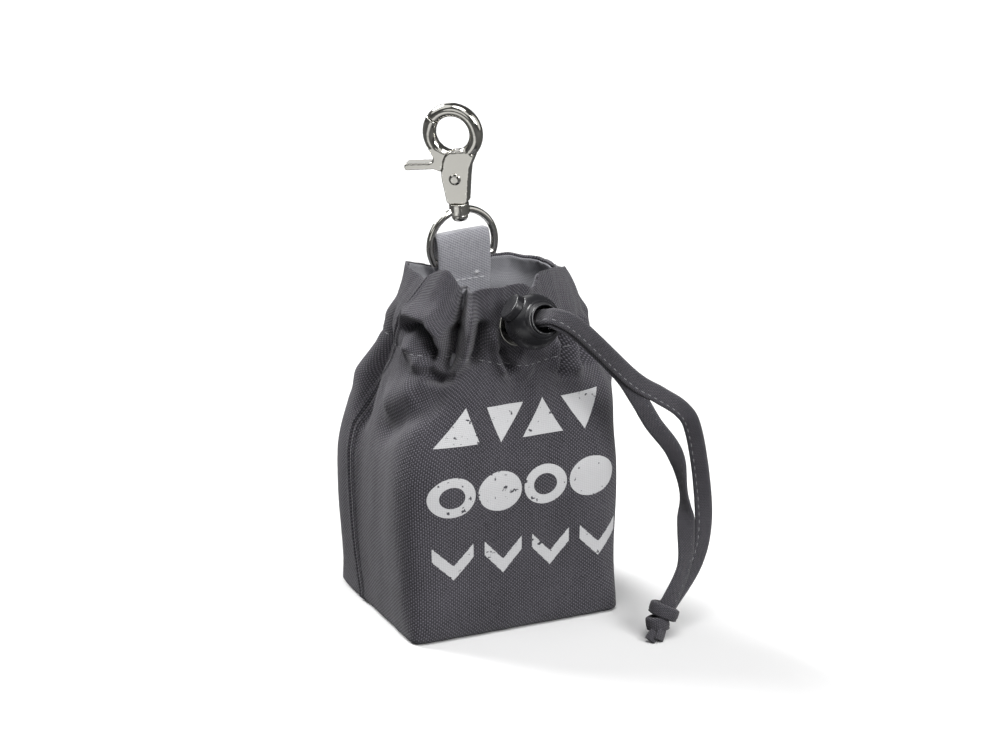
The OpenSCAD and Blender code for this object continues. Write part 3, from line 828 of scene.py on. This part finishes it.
def cord_stitches(frames, side, pitch=3.2, dash=2.1):
    """Running stitch on both faces of a cord; side is the place across it, from -1 to 1."""
    pts, across, up, along = frames
    total = along[-1]
    dashes = []
    s = 1.5
    at = lambda q, table: np.array([np.interp(q, along, table[:, k]) for k in range(3)])
    while s * MM < total - 3 * MM:
        for face in (1, -1):
            line, normals = [], []
            for k in range(5):
                q = (s + dash * k / 4) * MM
                n = at(q, up) * face
                lift = CORD_T / 2 * 0.72 + mix(-0.08, 0.16, math.sin(math.pi * k / 4)) * MM
                line.append(at(q, pts) + at(q, across) * side * CORD_W / 2 + n * lift)
                normals.append(n)
            dashes.append((line, normals))
        s += pitch
    return dashes


VIEW_SIDE = Vector((-0.42, -0.85, 0.33))
STRAND_OFFSETS = (1.9, 0.1)


def cord_paths():
    """Centre lines of the two tails, from inside the lock to the knot, in metres."""
    axis = np.array(CORD_AXIS)
    lift = np.array(BUTTON_AXIS) * MM
    hole = np.array(LOCK_POS)
    hang = np.array(TAIL_POS)
    at = lambda x, y, z: hang + np.array([x, y, z]) * MM
    knot = np.array(knot_place())
    outer = [hole + axis * 3 * MM + lift * 1.9, hole + axis * 10 * MM + lift * 1.7, at(2.6, -1.6, 0.6),
             at(11.8, -3.6, -5.4), at(34.3, -3.5, -28.2), at(46.0, -4.1, -36.5), at(55.2, -5.4, -43.4),
             at(59.5, -7.0, -51.3), at(62.4, -9.2, -71.0), at(63.2, -10.4, -91.5), at(58.5, -12.4, -106.0),
             knot + np.array([3.6, 1.2, 3.0]) * MM, knot]
    inner = [hole + axis * 3 * MM + lift * 0.1, hole + axis * 10 * MM, at(2.4, -0.1, -1.3),
             at(12.2, -1.8, -7.2), at(29.7, -1.7, -25.2), at(37.6, -2.5, -37.1), at(43.5, -4.0, -47.8),
             at(52.3, -6.0, -61.0), at(55.2, -8.5, -77.0), at(54.8, -11.5, -91.0), at(52.8, -14.0, -105.5),
             knot + np.array([2.0, -0.6, 3.4]) * MM, knot - np.array([1.2, 0.8, 0]) * MM]
    return outer, inner


def cord_faces():
    """Way the broad face of each tail looks, along its length."""
    view = np.array(VIEW_SIDE)
    start = np.array(BUTTON_AXIS)
    over = np.array([-0.30, -0.62, 0.72])
    outer = [start, start, over, view, view, view, view, [-0.60, -0.78, 0.15], [-0.62, -0.77, 0.1],
             [-0.20, -0.97, 0.05], [-0.05, -0.98, 0.1], [-0.3, -0.9, 0.3], [-0.4, -0.85, 0.3]]
    inner = [start, start, over, view, view, view, [-0.55, -0.80, 0.2], [-0.72, -0.68, 0.1],
             [-0.99, 0.12, 0.05], [-0.35, -0.93, 0.05], [0.15, -0.97, 0.1], [-0.1, -0.95, 0.3],
             [-0.4, -0.85, 0.3]]
    return outer, inner


def knot_place():
    """Middle of the knot's collar."""
    low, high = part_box("cord_knot")
    return (high.x - 7.4 * MM, low.y + 9.5 * MM, high.z - 4.0 * MM)


def knot_wrap(name, centre, axis, view, size, cord, turns, lead):
    """One turn of cord round the knot, its width along the axis. Size: two radii and the rise, in mm."""
    side = unit(np.cross(axis, view))
    front = np.cross(side, axis)
    path, look = [], []
    steps = 12
    for k in range(steps + 1):
        t = mix(-0.5, 0.5, k / steps) * turns * 2 * math.pi + lead
        out = side * size[0] * math.cos(t) + front * size[1] * math.sin(t)
        path.append(centre + out * MM + axis * size[2] * mix(-0.5, 0.5, k / steps) * MM)
        look.append(side * math.cos(t) / size[0] + front * math.sin(t) / size[1])
    obj, _ = flat_cord(name, path, look, cord[0], cord[1], 80)
    return obj


def knot_object():
    """Overhand knot of the doubled cord: a collar, a second turn below it and two short cut ends."""
    place = np.array(knot_place())
    axis = unit([-0.42, -0.12, -0.90])
    view = np.array(VIEW_SIDE)
    turn_place = place + axis * 4.6 * MM + np.array([-1.2, -0.2, 0]) * MM
    turn_axis = axis + np.array([0.42, -0.1, 0.1])
    pieces = [
        knot_wrap("knot_collar", place, axis, view, size=(4.6, 4.0, 1.6), cord=(5.2 * MM, 2.9 * MM),
                  turns=1.12, lead=1.2),
        knot_wrap("knot_turn", turn_place, turn_axis, view, size=(3.3, 3.3, 2.2),
                  cord=(5.4 * MM, 2.7 * MM), turns=1.15, lead=0.4),
    ]
    for k, (dx, dy) in enumerate(((-2.4, -0.6), (0.9, -1.9))):
        start = place + axis * 3.0 * MM
        tip = place + np.array([-6.0 + dx, -3.4 + dy, 0]) * MM
        tip[2] = FLOOR_Z + 1.0 * MM
        middle = (start + tip) / 2 + np.array([0.5, -0.8, 0.6]) * MM
        look = [[-0.5 + 0.9 * k, -0.85, 0.2]] * 3
        end, _ = flat_cord(f"knot_end_{k}", [start, middle, tip], look, 4.6 * MM, 1.9 * MM, 24)
        pieces.append(end)
    return join_meshes("cord_knot_wraps", pieces)


# ---------- Metal and plastic parts, softened from the CAD ----------

def softened(node, name, voxel, rounds):
    """Copy of a CAD node with its sharp edges rounded as in casting or moulding."""
    src = frame["nodes"][node]
    obj = bpy.data.objects.new(name, src.data.copy())
    obj.data.materials.clear()
    bpy.context.scene.collection.objects.link(obj)
    remesh = obj.modifiers.new("remesh", "REMESH")
    remesh.mode = "VOXEL"
    remesh.voxel_size = voxel * MM
    remesh.adaptivity = 0.0
    relax = obj.modifiers.new("relax", "SMOOTH")
    relax.factor = 0.5
    relax.iterations = rounds
    apply_modifiers(obj)
    obj.data.polygons.foreach_set("use_smooth", [True] * len(obj.data.polygons))
    return obj


def lock_rim():
    """Rounded collar where the cord leaves the ball."""
    low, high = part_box("lock_body")
    ball_r = (high.x - low.x) / 2
    centre = (low + high) / 2
    centre.y = high.y - ball_r
    hole_r = HOLE_D / 2
    start = math.sqrt(ball_r ** 2 - (hole_r + 2.2 * MM) ** 2)
    axis = np.array(CORD_AXIS)
    side = np.array(BUTTON_AXIS)
    third = np.cross(axis, side)
    profile = [(2.6, -0.6), (2.1, 0.5), (1.5, 1.1), (0.7, 1.2), (0.15, 0.7), (0.05, -0.4)]
    count = 72
    grid = np.zeros((len(profile), count, 3))
    for j, (wider, rise) in enumerate(profile):
        for i in range(count):
            a = 2 * math.pi * i / count
            out = side * math.cos(a) + third * math.sin(a)
            grid[j, i] = np.array(centre) + axis * (start + rise * MM) + out * (hole_r + wider * MM)
    uv = np.zeros((len(profile), count + 1, 2))
    obj = grid_object("lock_collar", grid[::-1], uv, wrap=True)
    smoother = obj.modifiers.new("round", "SUBSURF")
    smoother.levels = 1
    return apply_modifiers(obj)


# ---------- Print ----------

def print_shapes():
    """Three rows of plain shapes. Each is a distance over (x, z) in mm, and its box x0, x1, z0, z1."""
    rows = [86.0, 59.5, 32.5]
    shapes = []

    def triangle(cx, cz, r, flip):
        s = -1 if flip else 1

        def inside(x, z):
            px, pz = x - cx, (z - cz) * s
            edge = lambda a: px * math.cos(a) + pz * math.sin(a)
            return np.maximum.reduce([edge(math.radians(k)) for k in (-90, 30, 150)]) - r
        return (inside, cx - 2 * r, cx + 2 * r, cz - 2 * r, cz + 2 * r)

    def disc(cx, cz, r, hole):
        def inside(x, z):
            d = np.hypot(x - cx, z - cz)
            return np.maximum(d - r, hole - d)
        return (inside, cx - r, cx + r, cz - r, cz + r)

    def chevron(cx, cz, w, h, t):
        def inside(x, z):
            k = h / w
            fold = (z - cz) - (k * np.abs(x - cx) - h / 2)
            return np.maximum(np.abs(fold) - t, np.abs(x - cx) - w)
        return (inside, cx - w, cx + w, cz - h - t, cz + h + t)

    for i, cx in enumerate((-24.0, -7.5, 9.0, 25.5)):
        shapes.append(triangle(cx, rows[0] + (-2.0 if i % 2 == 0 else 2.0), 4.7, i % 2 == 1))
    for i, cx in enumerate((-24.0, -7.0, 10.0, 27.0)):
        shapes.append(disc(cx, rows[1], 8.0, 4.3 if i % 2 == 0 else -1.0))
    for cx in (-24.0, -6.0, 12.0, 30.0):
        shapes.append(chevron(cx, rows[2], 7.0, 8.6, 3.0))
    return shapes


INK_LIFT = 0.07 * MM


PRINT_CELL = 0.45


def print_object(sample):
    """Thin ink layer that follows the front panel's folds, cut from a grid of small cells."""
    cell = PRINT_CELL
    verts, faces = [], []
    for inside, x0, x1, z0, z1 in print_shapes():
        xs = np.arange(x0 - 1, x1 + 1 + cell, cell)
        zs = np.arange(z0 - 1, z1 + 1 + cell, cell)
        gx, gz = np.meshgrid(xs, zs)
        d = inside(gx, gz)
        gy, gxx = np.gradient(d, cell)
        size = np.maximum(np.hypot(gxx, gy), 0.3)
        near = (d > 0) & (d < 1.1 * cell)
        px = gx - np.where(near, d * gxx / size ** 2, 0)
        pz = gz - np.where(near, d * gy / size ** 2, 0)
        keep = d < 1.1 * cell
        index = -np.ones(d.shape, int)
        for j in range(d.shape[0] - 1):
            for i in range(d.shape[1] - 1):
                cellkeep = keep[j:j + 2, i:i + 2]
                if not cellkeep.all() or (d[j:j + 2, i:i + 2] > 0).all():
                    continue
                quad = []
                for jj, ii in ((j, i), (j, i + 1), (j + 1, i + 1), (j + 1, i)):
                    if index[jj, ii] < 0:
                        index[jj, ii] = len(verts)
                        verts.append((px[jj, ii], pz[jj, ii]))
                    quad.append(index[jj, ii])
                faces.append(quad)
    placed = []
    for x, z in verts:
        c = 0.25 + x * MM / WALL_GIRTH
        p, n = sample(c, z * MM)
        placed.append(p + n * INK_LIFT)
    corner = [[(verts[i][0] * MM, verts[i][1] * MM) for i in f] for f in faces]
    return make_object("front_print", placed, faces, np.array(corner))


# ---------- Materials ----------

class Nodes:
    """Short helper for building a node material."""

    def __init__(self, name):
        self.mat = bpy.data.materials.new(name)
        self.mat.use_nodes = True
        self.tree = self.mat.node_tree
        self.tree.nodes.clear()
        self.out = self.tree.nodes.new("ShaderNodeOutputMaterial")
        self.bsdf = self.tree.nodes.new("ShaderNodeBsdfPrincipled")
        self.link(self.bsdf.outputs[0], self.out.inputs[0])

    def link(self, a, b):
        self.tree.links.new(a, b)

    def put(self, socket, value):
        if isinstance(value, bpy.types.NodeSocket):
            self.link(value, socket)
        elif value is not None:
            socket.default_value = value

    def shade(self, name, value):
        self.put(self.bsdf.inputs[name], value)

    def add(self, a, b):
        return self.math("ADD", a, b)

    def times(self, a, b):
        return self.math("MULTIPLY", a, b)

    def math(self, op, a, b=None):
        n = self.tree.nodes.new("ShaderNodeMath")
        n.operation = op
        for i, v in enumerate((a, b)):
            if v is not None:
                self.put(n.inputs[i], v)
        return n.outputs[0]

    def noise(self, vector, scale, detail=3.0, rough=0.5):
        n = self.tree.nodes.new("ShaderNodeTexNoise")
        self.put(n.inputs["Vector"], vector)
        n.inputs["Scale"].default_value = scale
        n.inputs["Detail"].default_value = detail
        n.inputs["Roughness"].default_value = rough
        return n.outputs["Fac"]

    def mix(self, factor, a, b):
        n = self.tree.nodes.new("ShaderNodeMix")
        n.data_type = "RGBA"
        self.put(n.inputs[0], factor)
        self.put(n.inputs[6], a)
        self.put(n.inputs[7], b)
        return n.outputs[2]

    def ramp(self, value, low, high):
        n = self.tree.nodes.new("ShaderNodeMapRange")
        self.put(n.inputs[0], value)
        n.inputs[1].default_value = low
        n.inputs[2].default_value = high
        return n.outputs[0]

    def bump(self, height, distance, strength=1.0):
        n = self.tree.nodes.new("ShaderNodeBump")
        n.inputs["Distance"].default_value = distance
        n.inputs["Strength"].default_value = strength
        self.put(n.inputs["Height"], height)
        return n.outputs[0]

    def coords(self, kind="Object"):
        n = self.tree.nodes.new("ShaderNodeTexCoord")
        return n.outputs[kind]

    def split(self, vector):
        n = self.tree.nodes.new("ShaderNodeSeparateXYZ")
        self.put(n.inputs[0], vector)
        return n.outputs[0], n.outputs[1], n.outputs[2]


def scaled(colour, share):
    """The colour times a share, opaque."""
    return [v * share for v in colour[:3]] + [1]


def weave_height(m, u, v, pitch):
    """Plain weave: threads over and under each other, as a height from 0 to 1, and which set is on top."""
    a = m.math("DIVIDE", u, pitch)
    b = m.math("DIVIDE", v, pitch)
    parity = m.add(m.math("FLOOR", a), m.math("FLOOR", b))
    over = m.math("PINGPONG", parity, 1.0)
    warp_h = m.math("ABSOLUTE", m.math("SINE", m.times(a, math.pi)))
    weft_h = m.math("ABSOLUTE", m.math("SINE", m.times(b, math.pi)))
    crown_a = m.times(warp_h, m.add(m.times(weft_h, 0.45), 0.55))
    crown_b = m.times(weft_h, m.add(m.times(warp_h, 0.45), 0.55))
    inverse = m.math("SUBTRACT", 1.0, over)
    height = m.add(m.times(crown_a, over), m.times(crown_b, inverse))
    return height, over


def fabric_material(name, dark, light, pitch, bump, sheen=0.25):
    """Woven cloth from the piece's UV, which is in metres; its colour has painted shade in the weave's gaps
    and painted highlight on the thread crowns.
    """
    m = Nodes(name)
    u, v, _ = m.split(m.coords("UV"))
    drift = m.noise(m.coords("UV"), 260.0, 2.0)
    u2 = m.add(u, m.times(m.math("SUBTRACT", drift, 0.5), pitch * 0.5))
    height, over = weave_height(m, u2, v, pitch)
    slub = m.noise(m.coords("Object"), 900.0, 2.0, 0.6)
    cloud = m.noise(m.coords("Object"), 45.0, 3.0, 0.55)
    # painted light: colour follows the weave's height, dark in the gaps, light on the crowns and on the
    # thread set on top; slub and cloud are random tone
    weave_shading_and_tone = m.add(m.times(height, 0.35), m.times(slub, 0.30))
    weave_shading_and_tone = m.add(weave_shading_and_tone, m.times(m.times(over, height), 0.50))
    weave_shading_and_tone = m.add(weave_shading_and_tone, m.times(m.math("SUBTRACT", cloud, 0.5), 0.25))
    m.shade("Base Color", m.mix(m.ramp(weave_shading_and_tone, 0.15, 0.95), dark, light))
    m.shade("Roughness", m.add(0.74, m.times(slub, 0.16)))
    m.shade("Sheen Weight", sheen)
    m.shade("Sheen Roughness", 0.45)
    m.shade("Specular IOR Level", 0.25)
    raised = m.add(height, m.times(over, 0.5))
    total = m.add(raised, m.times(slub, 0.5))
    m.shade("Normal", m.bump(total, bump))
    return m.mat


def webbing_material(name, dark, light):
    """Twill webbing: fine cords along its length crossed by low diagonal ribs; its colour is painted
    lighter on their crowns and darker between them.
    """
    m = Nodes(name)
    u, v, _ = m.split(m.coords("UV"))
    pitch = 1.05 * MM
    phase = m.math("DIVIDE", m.add(v, m.times(u, 0.6)), pitch)
    rib = m.math("ABSOLUTE", m.math("SINE", m.times(phase, math.pi)))
    fine = m.math("ABSOLUTE", m.math("SINE", m.times(u, math.pi / (0.75 * MM))))
    slub = m.noise(m.coords("Object"), 1100.0, 2.0, 0.6)
    height = m.add(m.times(rib, 0.6), m.times(fine, 0.4))
    # painted light and shade: the colour follows the ribs' and cords' height, with random slub on top
    weave_shading_and_tone = m.add(m.times(height, 0.6), m.times(slub, 0.5))
    m.shade("Base Color", m.mix(m.ramp(weave_shading_and_tone, 0.1, 1.0), dark, light))
    m.shade("Roughness", 0.78)
    m.shade("Sheen Weight", 0.3)
    m.shade("Specular IOR Level", 0.25)
    total = m.add(height, m.times(slub, 0.4))
    m.shade("Normal", m.bump(total, 0.00014))
    return m.mat


def thread_material(name, colour):
    m = Nodes(name)
    twist = m.noise(m.coords("Object"), 2600.0, 1.0)
    m.shade("Base Color", m.mix(twist, scaled(colour, 0.72), colour))
    m.shade("Roughness", 0.5)
    m.shade("Sheen Weight", 0.2)
    m.shade("Normal", m.bump(twist, 0.00005))
    return m.mat


def metal_material(name, colour, rough, wear=0.06):
    """Plated metal: fine haze, faint polishing waves, slightly duller patches, and painted shade that
    darkens its hollows and creases.
    """
    m = Nodes(name)
    haze = m.noise(m.coords("Object"), 160.0, 4.0, 0.6)
    grain = m.noise(m.coords("Object"), 2400.0, 2.0, 0.5)
    # painted shade: the colour darkens from convex edges towards hollows and creases, by pointiness; flat
    # faces take part of it
    edge = m.ramp(m.tree.nodes.new("ShaderNodeNewGeometry").outputs["Pointiness"], 0.46, 0.53)
    body = m.mix(haze, scaled(colour, 0.86), colour)
    m.shade("Base Color", m.mix(edge, scaled(colour, 0.35), body))
    m.shade("Metallic", 1.0)
    m.shade("Roughness", m.add(rough, m.times(haze, wear)))
    skin = m.add(haze, m.times(grain, 0.1))
    m.shade("Normal", m.bump(skin, 0.00006, 0.6))
    return m.mat


def plastic_material(name, colour, rough):
    """Moulded plastic with a fine spark texture and faint handling marks."""
    m = Nodes(name)
    spark = m.noise(m.coords("Object"), 1500.0, 2.0, 0.6)
    marks = m.noise(m.coords("Object"), 180.0, 4.0, 0.65)
    m.shade("Base Color", m.mix(marks, colour, scaled(colour, 1.5)))
    m.shade("Roughness", m.add(rough, m.times(marks, 0.14)))
    m.shade("Specular IOR Level", 0.5)
    m.shade("Normal", m.bump(spark, 0.00002, 0.5))
    return m.mat


def ink_material(name, ink, cloth):
    """Matte ink that shows the weave, with small worn specks where the cloth comes through."""
    m = Nodes(name)
    u, v, _ = m.split(m.coords("UV"))
    height, _ = weave_height(m, u, v, WEAVE_PITCH)
    speck = m.noise(m.coords("Object"), 420.0, 3.0, 0.55)
    patch = m.noise(m.coords("Object"), 95.0, 2.0, 0.5)
    worn = m.add(speck, m.times(patch, 0.55))
    mask = m.ramp(worn, 0.955, 0.975)
    shade = m.mix(m.ramp(height, 0.0, 1.0), scaled(ink, 0.86), ink)
    m.shade("Base Color", m.mix(mask, shade, cloth))
    m.shade("Roughness", 0.72)
    m.shade("Specular IOR Level", 0.25)
    m.shade("Normal", m.bump(height, 0.00009))
    return m.mat


# SHADOW_YARN is painted shade: the dark end of the weave colour, which fills the gaps between the threads.
SHADOW_YARN = (0.005, 0.0048, 0.007, 1)
# Each cloth's first colour is the painted shade in its weave's gaps, the second the lit crowns of its
# threads.
MATERIALS = {
    "canvas": lambda: fabric_material("canvas", SHADOW_YARN, (0.190, 0.181, 0.211, 1), WEAVE_PITCH,
                                      bump=0.00026),
    "cord": lambda: fabric_material("cord", SHADOW_YARN, (0.168, 0.161, 0.184, 1), CORD_WEAVE_PITCH,
                                    bump=0.00018),
    "lining": lambda: fabric_material("lining", (0.22, 0.22, 0.24, 1), (0.44, 0.44, 0.47, 1),
                                      LINING_WEAVE_PITCH, bump=0.00016, sheen=0.15),
    "webbing": lambda: webbing_material("webbing", (0.12, 0.12, 0.135, 1), (0.50, 0.50, 0.54, 1)),
    "thread": lambda: thread_material("thread", (0.40, 0.40, 0.42, 1)),
    "thread_light": lambda: thread_material("thread_light", (0.74, 0.74, 0.76, 1)),
    "thread_dark": lambda: thread_material("thread_dark", (0.11, 0.107, 0.12, 1)),
    "nickel": lambda: metal_material("nickel", (0.84, 0.825, 0.765, 1), 0.035, 0.05),
    "spring_steel": lambda: metal_material("spring_steel", (0.56, 0.56, 0.57, 1), 0.28),
    "lock_plastic": lambda: plastic_material("lock_plastic", (0.013, 0.013, 0.015, 1), 0.19),
    "ink": lambda: ink_material("ink", (0.74, 0.74, 0.755, 1), (0.085, 0.082, 0.095, 1)),
}
BUILT = {}


def material(key):
    if key not in BUILT:
        BUILT[key] = MATERIALS[key]()
    return BUILT[key]


def finish_piece(obj, key, slot, body, *nodes):
    """Material, body and the CAD nodes a piece stands for; the slot argument is not used."""
    obj.data.materials.clear()
    obj.data.materials.append(material(key))
    if body:
        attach(obj, body)
    if nodes:
        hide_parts(*nodes)
    return obj


def dress_node(node, key):
    obj = frame["nodes"][node]
    obj.data.materials.clear()
    obj.data.materials.append(material(key))


# ---------- Assembly ----------

def build_bag():
    pts, uv, heights = build_wall()
    sample = wall_sampler(pts, heights)
    half = WALL_COLS // 2
    front = panel_object("bag_front", pts, uv, 0, half)
    back = panel_object("bag_back", pts, uv, half, WALL_COLS)
    finish_piece(front, "canvas", "canvas", "pouch", "front_panel")
    finish_piece(back, "canvas", "canvas", "pouch", "back_panel")
    finish_piece(lining_object(pts, heights), "lining", "lining", "pouch", "lining")
    finish_piece(base_object(), "canvas", "canvas", "pouch", "base_panel")
    finish_piece(channel_stitches(sample), "thread", "thread", "pouch", "channel_stitching")
    finish_piece(seam_stitches(sample), "thread_dark", "thread", "pouch", "side_seam_stitching")
    finish_piece(print_object(sample), "ink", "canvas", "pouch")
    return sample


def build_tab():
    finish_piece(tab_object(), "webbing", "webbing", "pouch", "webbing_tab")
    finish_piece(tab_stitches(), "thread_light", "thread", "pouch", "tab_stitching")


def drawcord_strands():
    """The two straight strands that run from the eyelet into the lock."""
    strands = []
    look = np.array(BUTTON_AXIS)
    for k, off in enumerate(STRAND_OFFSETS):
        start = np.array(LOCK_POS) + look * off * MM
        path = [start + np.array(CORD_AXIS) * along * MM for along in (-13, -4, 2.4)]
        strand, _ = flat_cord(f"drawcord_{k}", path, [look] * 3, CORD_W, CORD_T, 30)
        strands.append(strand)
    return join_meshes("drawcord_strands", strands)


def build_cords():
    outer, inner = cord_paths()
    look_outer, look_inner = cord_faces()
    obj_o, frames_o = flat_cord("cord_outer", outer, look_outer, CORD_W, CORD_T, 260)
    obj_i, frames_i = flat_cord("cord_inner", inner, look_inner, CORD_W, CORD_T, 260)
    threads = cord_stitches(frames_o, STITCH_LINE) + cord_stitches(frames_i, -STITCH_LINE)
    thread = thread_object("thread_cords", threads, 0.115 * MM)
    tails = ((obj_o, "cord", "cord_tail_outer"), (obj_i, "cord", "cord_tail_inner"),
             (thread, "thread", "cord_stitching"))
    for obj, key, node in tails:
        finish_piece(obj, key, key, None, node)
        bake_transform(obj)
    finish_piece(knot_object(), "cord", "cord", "tail", "cord_knot")
    finish_piece(drawcord_strands(), "cord", "cord", "pouch", "drawcord")


def squash_spring(spring):
    """Gives the button's spring its own copy of its mesh."""
    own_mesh(spring)


# CAD node, name of its softened copy, voxel in mm, rounds of smoothing, material, body
SOFTENED_PARTS = [
    ("lock_spring", "button_spring", 0.08, 2, "spring_steel", "lock"),
    ("lock_body", "lock_ball", 0.25, 10, "lock_plastic", "lock"),
    ("lock_plunger", "lock_button", 0.2, 6, "lock_plastic", "plunger"),
    ("swivel_ring", "swivel_d_end", 0.2, 6, "nickel", "ring"),
    ("hook_body", "snap_body", 0.2, 22, "nickel", "hook"),
    ("hook_trigger", "snap_trigger", 0.2, 22, "nickel", "trigger"),
    ("hook_rivet", "snap_rivet", 0.12, 5, "nickel", "hook"),
]


def build_hardware():
    for node in ("eyelet_barrel", "eyelet_washer"):
        dress_node(node, "nickel")
    dress_node("hook_spring", "spring_steel")
    for node, name, voxel, rounds, key, body in SOFTENED_PARTS:
        part = softened(node, name, voxel, rounds)
        if node == "lock_body":
            part = join_meshes(name, [part, lock_rim()])
        finish_piece(part, key, key, body, node)
        if node == "lock_spring":
            squash_spring(part)


# ---------- Stage ----------

CAMERA_AZIMUTH = -26.33
CAMERA_ELEVATION = 19.0
CAMERA_DISTANCE = 1.2375
CAMERA_TARGET = Vector((0.0097, 0.0, 0.0923))
CAMERA_LENS = 112.4


def build_camera():
    cam = bpy.data.objects.new("camera", bpy.data.cameras.new("camera"))
    cam.data.sensor_width = 36
    cam.data.lens = CAMERA_LENS
    cam.data.clip_start = 0.05
    a, e = math.radians(CAMERA_AZIMUTH), math.radians(CAMERA_ELEVATION)
    back = Vector((math.sin(a) * math.cos(e), -math.cos(a) * math.cos(e), math.sin(e)))
    cam.location = CAMERA_TARGET + back * CAMERA_DISTANCE
    cam.rotation_euler = back.to_track_quat("Z", "Y").to_euler()
    bpy.context.scene.collection.objects.link(cam)
    bpy.context.scene.camera = cam


# Painted reflection on the floor: where its light patch sits, and the distances over which it fades to
# dark.
PAINTED_REFLECTION_PLACE = (-0.30, -0.17, 0.0)
PAINTED_REFLECTION_REACH = (0.13, 0.24)


def build_floor():
    """Plain white floor. It gives less bounce than it shows, so the folds keep their depth,
    and polished metal sees only a painted reflection on it, a light patch painted into its colour, so its
    edges stay dark."""
    size = 5.0
    verts = [(-size, -size, 0), (size, -size, 0), (size, size, 0), (-size, size, 0)]
    floor = make_object("floor", verts, [(0, 1, 2, 3)])
    floor.location.z = FLOOR_Z - 0.05 * MM
    m = Nodes("floor_white")
    path = m.tree.nodes.new("ShaderNodeLightPath")
    grey = lambda v: (v, v, v, 1)
    away = m.tree.nodes.new("ShaderNodeVectorMath")
    away.operation = "DISTANCE"
    m.put(away.inputs[0], m.coords("Object"))
    away.inputs[1].default_value = PAINTED_REFLECTION_PLACE
    # painted reflection: glossy rays see a light patch (0.58) round its place, fading to a dark floor
    # (0.07); the camera sees plain white
    painted_reflection = m.mix(m.ramp(away.outputs["Value"], *PAINTED_REFLECTION_REACH), grey(0.58), grey(0.07))
    bounce = m.mix(path.outputs["Is Glossy Ray"], grey(0.22), painted_reflection)
    m.shade("Base Color", m.mix(path.outputs["Is Camera Ray"], bounce, grey(0.95)))
    m.shade("Roughness", 0.8)
    m.shade("Specular IOR Level", 0.1)
    floor.data.materials.append(m.mat)


def add_light(name, data, back):
    """Light whose back looks along the given way."""
    obj = bpy.data.objects.new(name, data)
    obj.rotation_euler = back.to_track_quat("Z", "Y").to_euler()
    bpy.context.scene.collection.objects.link(obj)
    return obj


def area_light(name, place, aim, size, power):
    data = bpy.data.lights.new(name, "AREA")
    data.shape = "RECTANGLE"
    data.size, data.size_y = size
    data.energy = power
    add_light(name, data, Vector(place) - Vector(aim)).location = place


def sun_light(name, way, angle, power):
    data = bpy.data.lights.new(name, "SUN")
    data.angle = math.radians(angle)
    data.energy = power
    add_light(name, data, Vector(way))


def build_lights():
    """Wide soft light from behind at the left, a softer one overhead and a soft box in front."""
    sun_light("key_rear_left", way=(-0.42, 0.85, 0.75), angle=28, power=3.5)
    sun_light("overhead", way=(-0.12, -0.32, 1.0), angle=38, power=1.5)
    area_light("front_box", place=(0.35, -1.15, 0.75), aim=(0, 0, 0.06), size=(0.6, 0.5), power=11.5)


# Soft boxes that polished metal sees: way to it, cosine where its edge starts and ends, strength
SOFT_BOXES = [((-0.65, 0.25, 0.72), 0.86, 0.91, 1.1), ((0.75, -0.55, 0.35), 0.90, 0.94, 1.0),
              ((-0.75, -0.62, 0.15), 0.95, 0.97, 0.9), ((0.1, 0.9, 0.35), 0.93, 0.97, 0.9),
              ((-0.2, -0.75, 0.62), 0.96, 0.98, 1.0)]


GLOSSY_ROOM = 0.085
ROOM_LIGHT = 0.14
SEEN_WHITE = 1.05


def build_world():
    """White to the camera, dim for the shading; polished metal sees a dark room with soft boxes."""
    world = bpy.data.worlds.new("studio")
    bpy.context.scene.world = world
    world.use_nodes = True
    tree = world.node_tree
    tree.nodes.clear()
    link = tree.links.new

    def background(strength):
        n = tree.nodes.new("ShaderNodeBackground")
        n.inputs[0].default_value = (1, 1, 1, 1)
        n.inputs[1].default_value = strength
        return n

    def either(chooser, otherwise, chosen):
        n = tree.nodes.new("ShaderNodeMixShader")
        for socket, source in zip(n.inputs, (chooser, otherwise, chosen)):
            link(source, socket)
        return n.outputs[0]

    white = background(SEEN_WHITE)
    plain = background(ROOM_LIGHT)
    boxes = background(1.0)
    coord = tree.nodes.new("ShaderNodeTexCoord")
    total = None
    for way, low, high, power in SOFT_BOXES:
        dot = tree.nodes.new("ShaderNodeVectorMath")
        dot.operation = "DOT_PRODUCT"
        dot.inputs[1].default_value = Vector(way).normalized()
        link(coord.outputs["Generated"], dot.inputs[0])
        edge = tree.nodes.new("ShaderNodeMapRange")
        edge.interpolation_type = "SMOOTHSTEP"
        edge.inputs[1].default_value = low
        edge.inputs[2].default_value = high
        edge.inputs[4].default_value = power
        link(dot.outputs["Value"], edge.inputs[0])
        add = tree.nodes.new("ShaderNodeMath")
        add.operation = "MAXIMUM"
        add.inputs[1].default_value = GLOSSY_ROOM
        if total is not None:
            link(total, add.inputs[1])
        link(edge.outputs[0], add.inputs[0])
        total = add.outputs[0]
    link(total, boxes.inputs[1])
    path = tree.nodes.new("ShaderNodeLightPath").outputs
    glossy = either(path["Is Glossy Ray"], plain.outputs[0], boxes.outputs[0])
    seen = either(path["Is Camera Ray"], glossy, white.outputs[0])
    out = tree.nodes.new("ShaderNodeOutputWorld")
    link(seen, out.inputs[0])
    bpy.context.scene.view_settings.view_transform = "Standard"


build_bag()
build_tab()
build_cords()
build_hardware()
build_camera()
build_floor()
build_lights()
build_world()
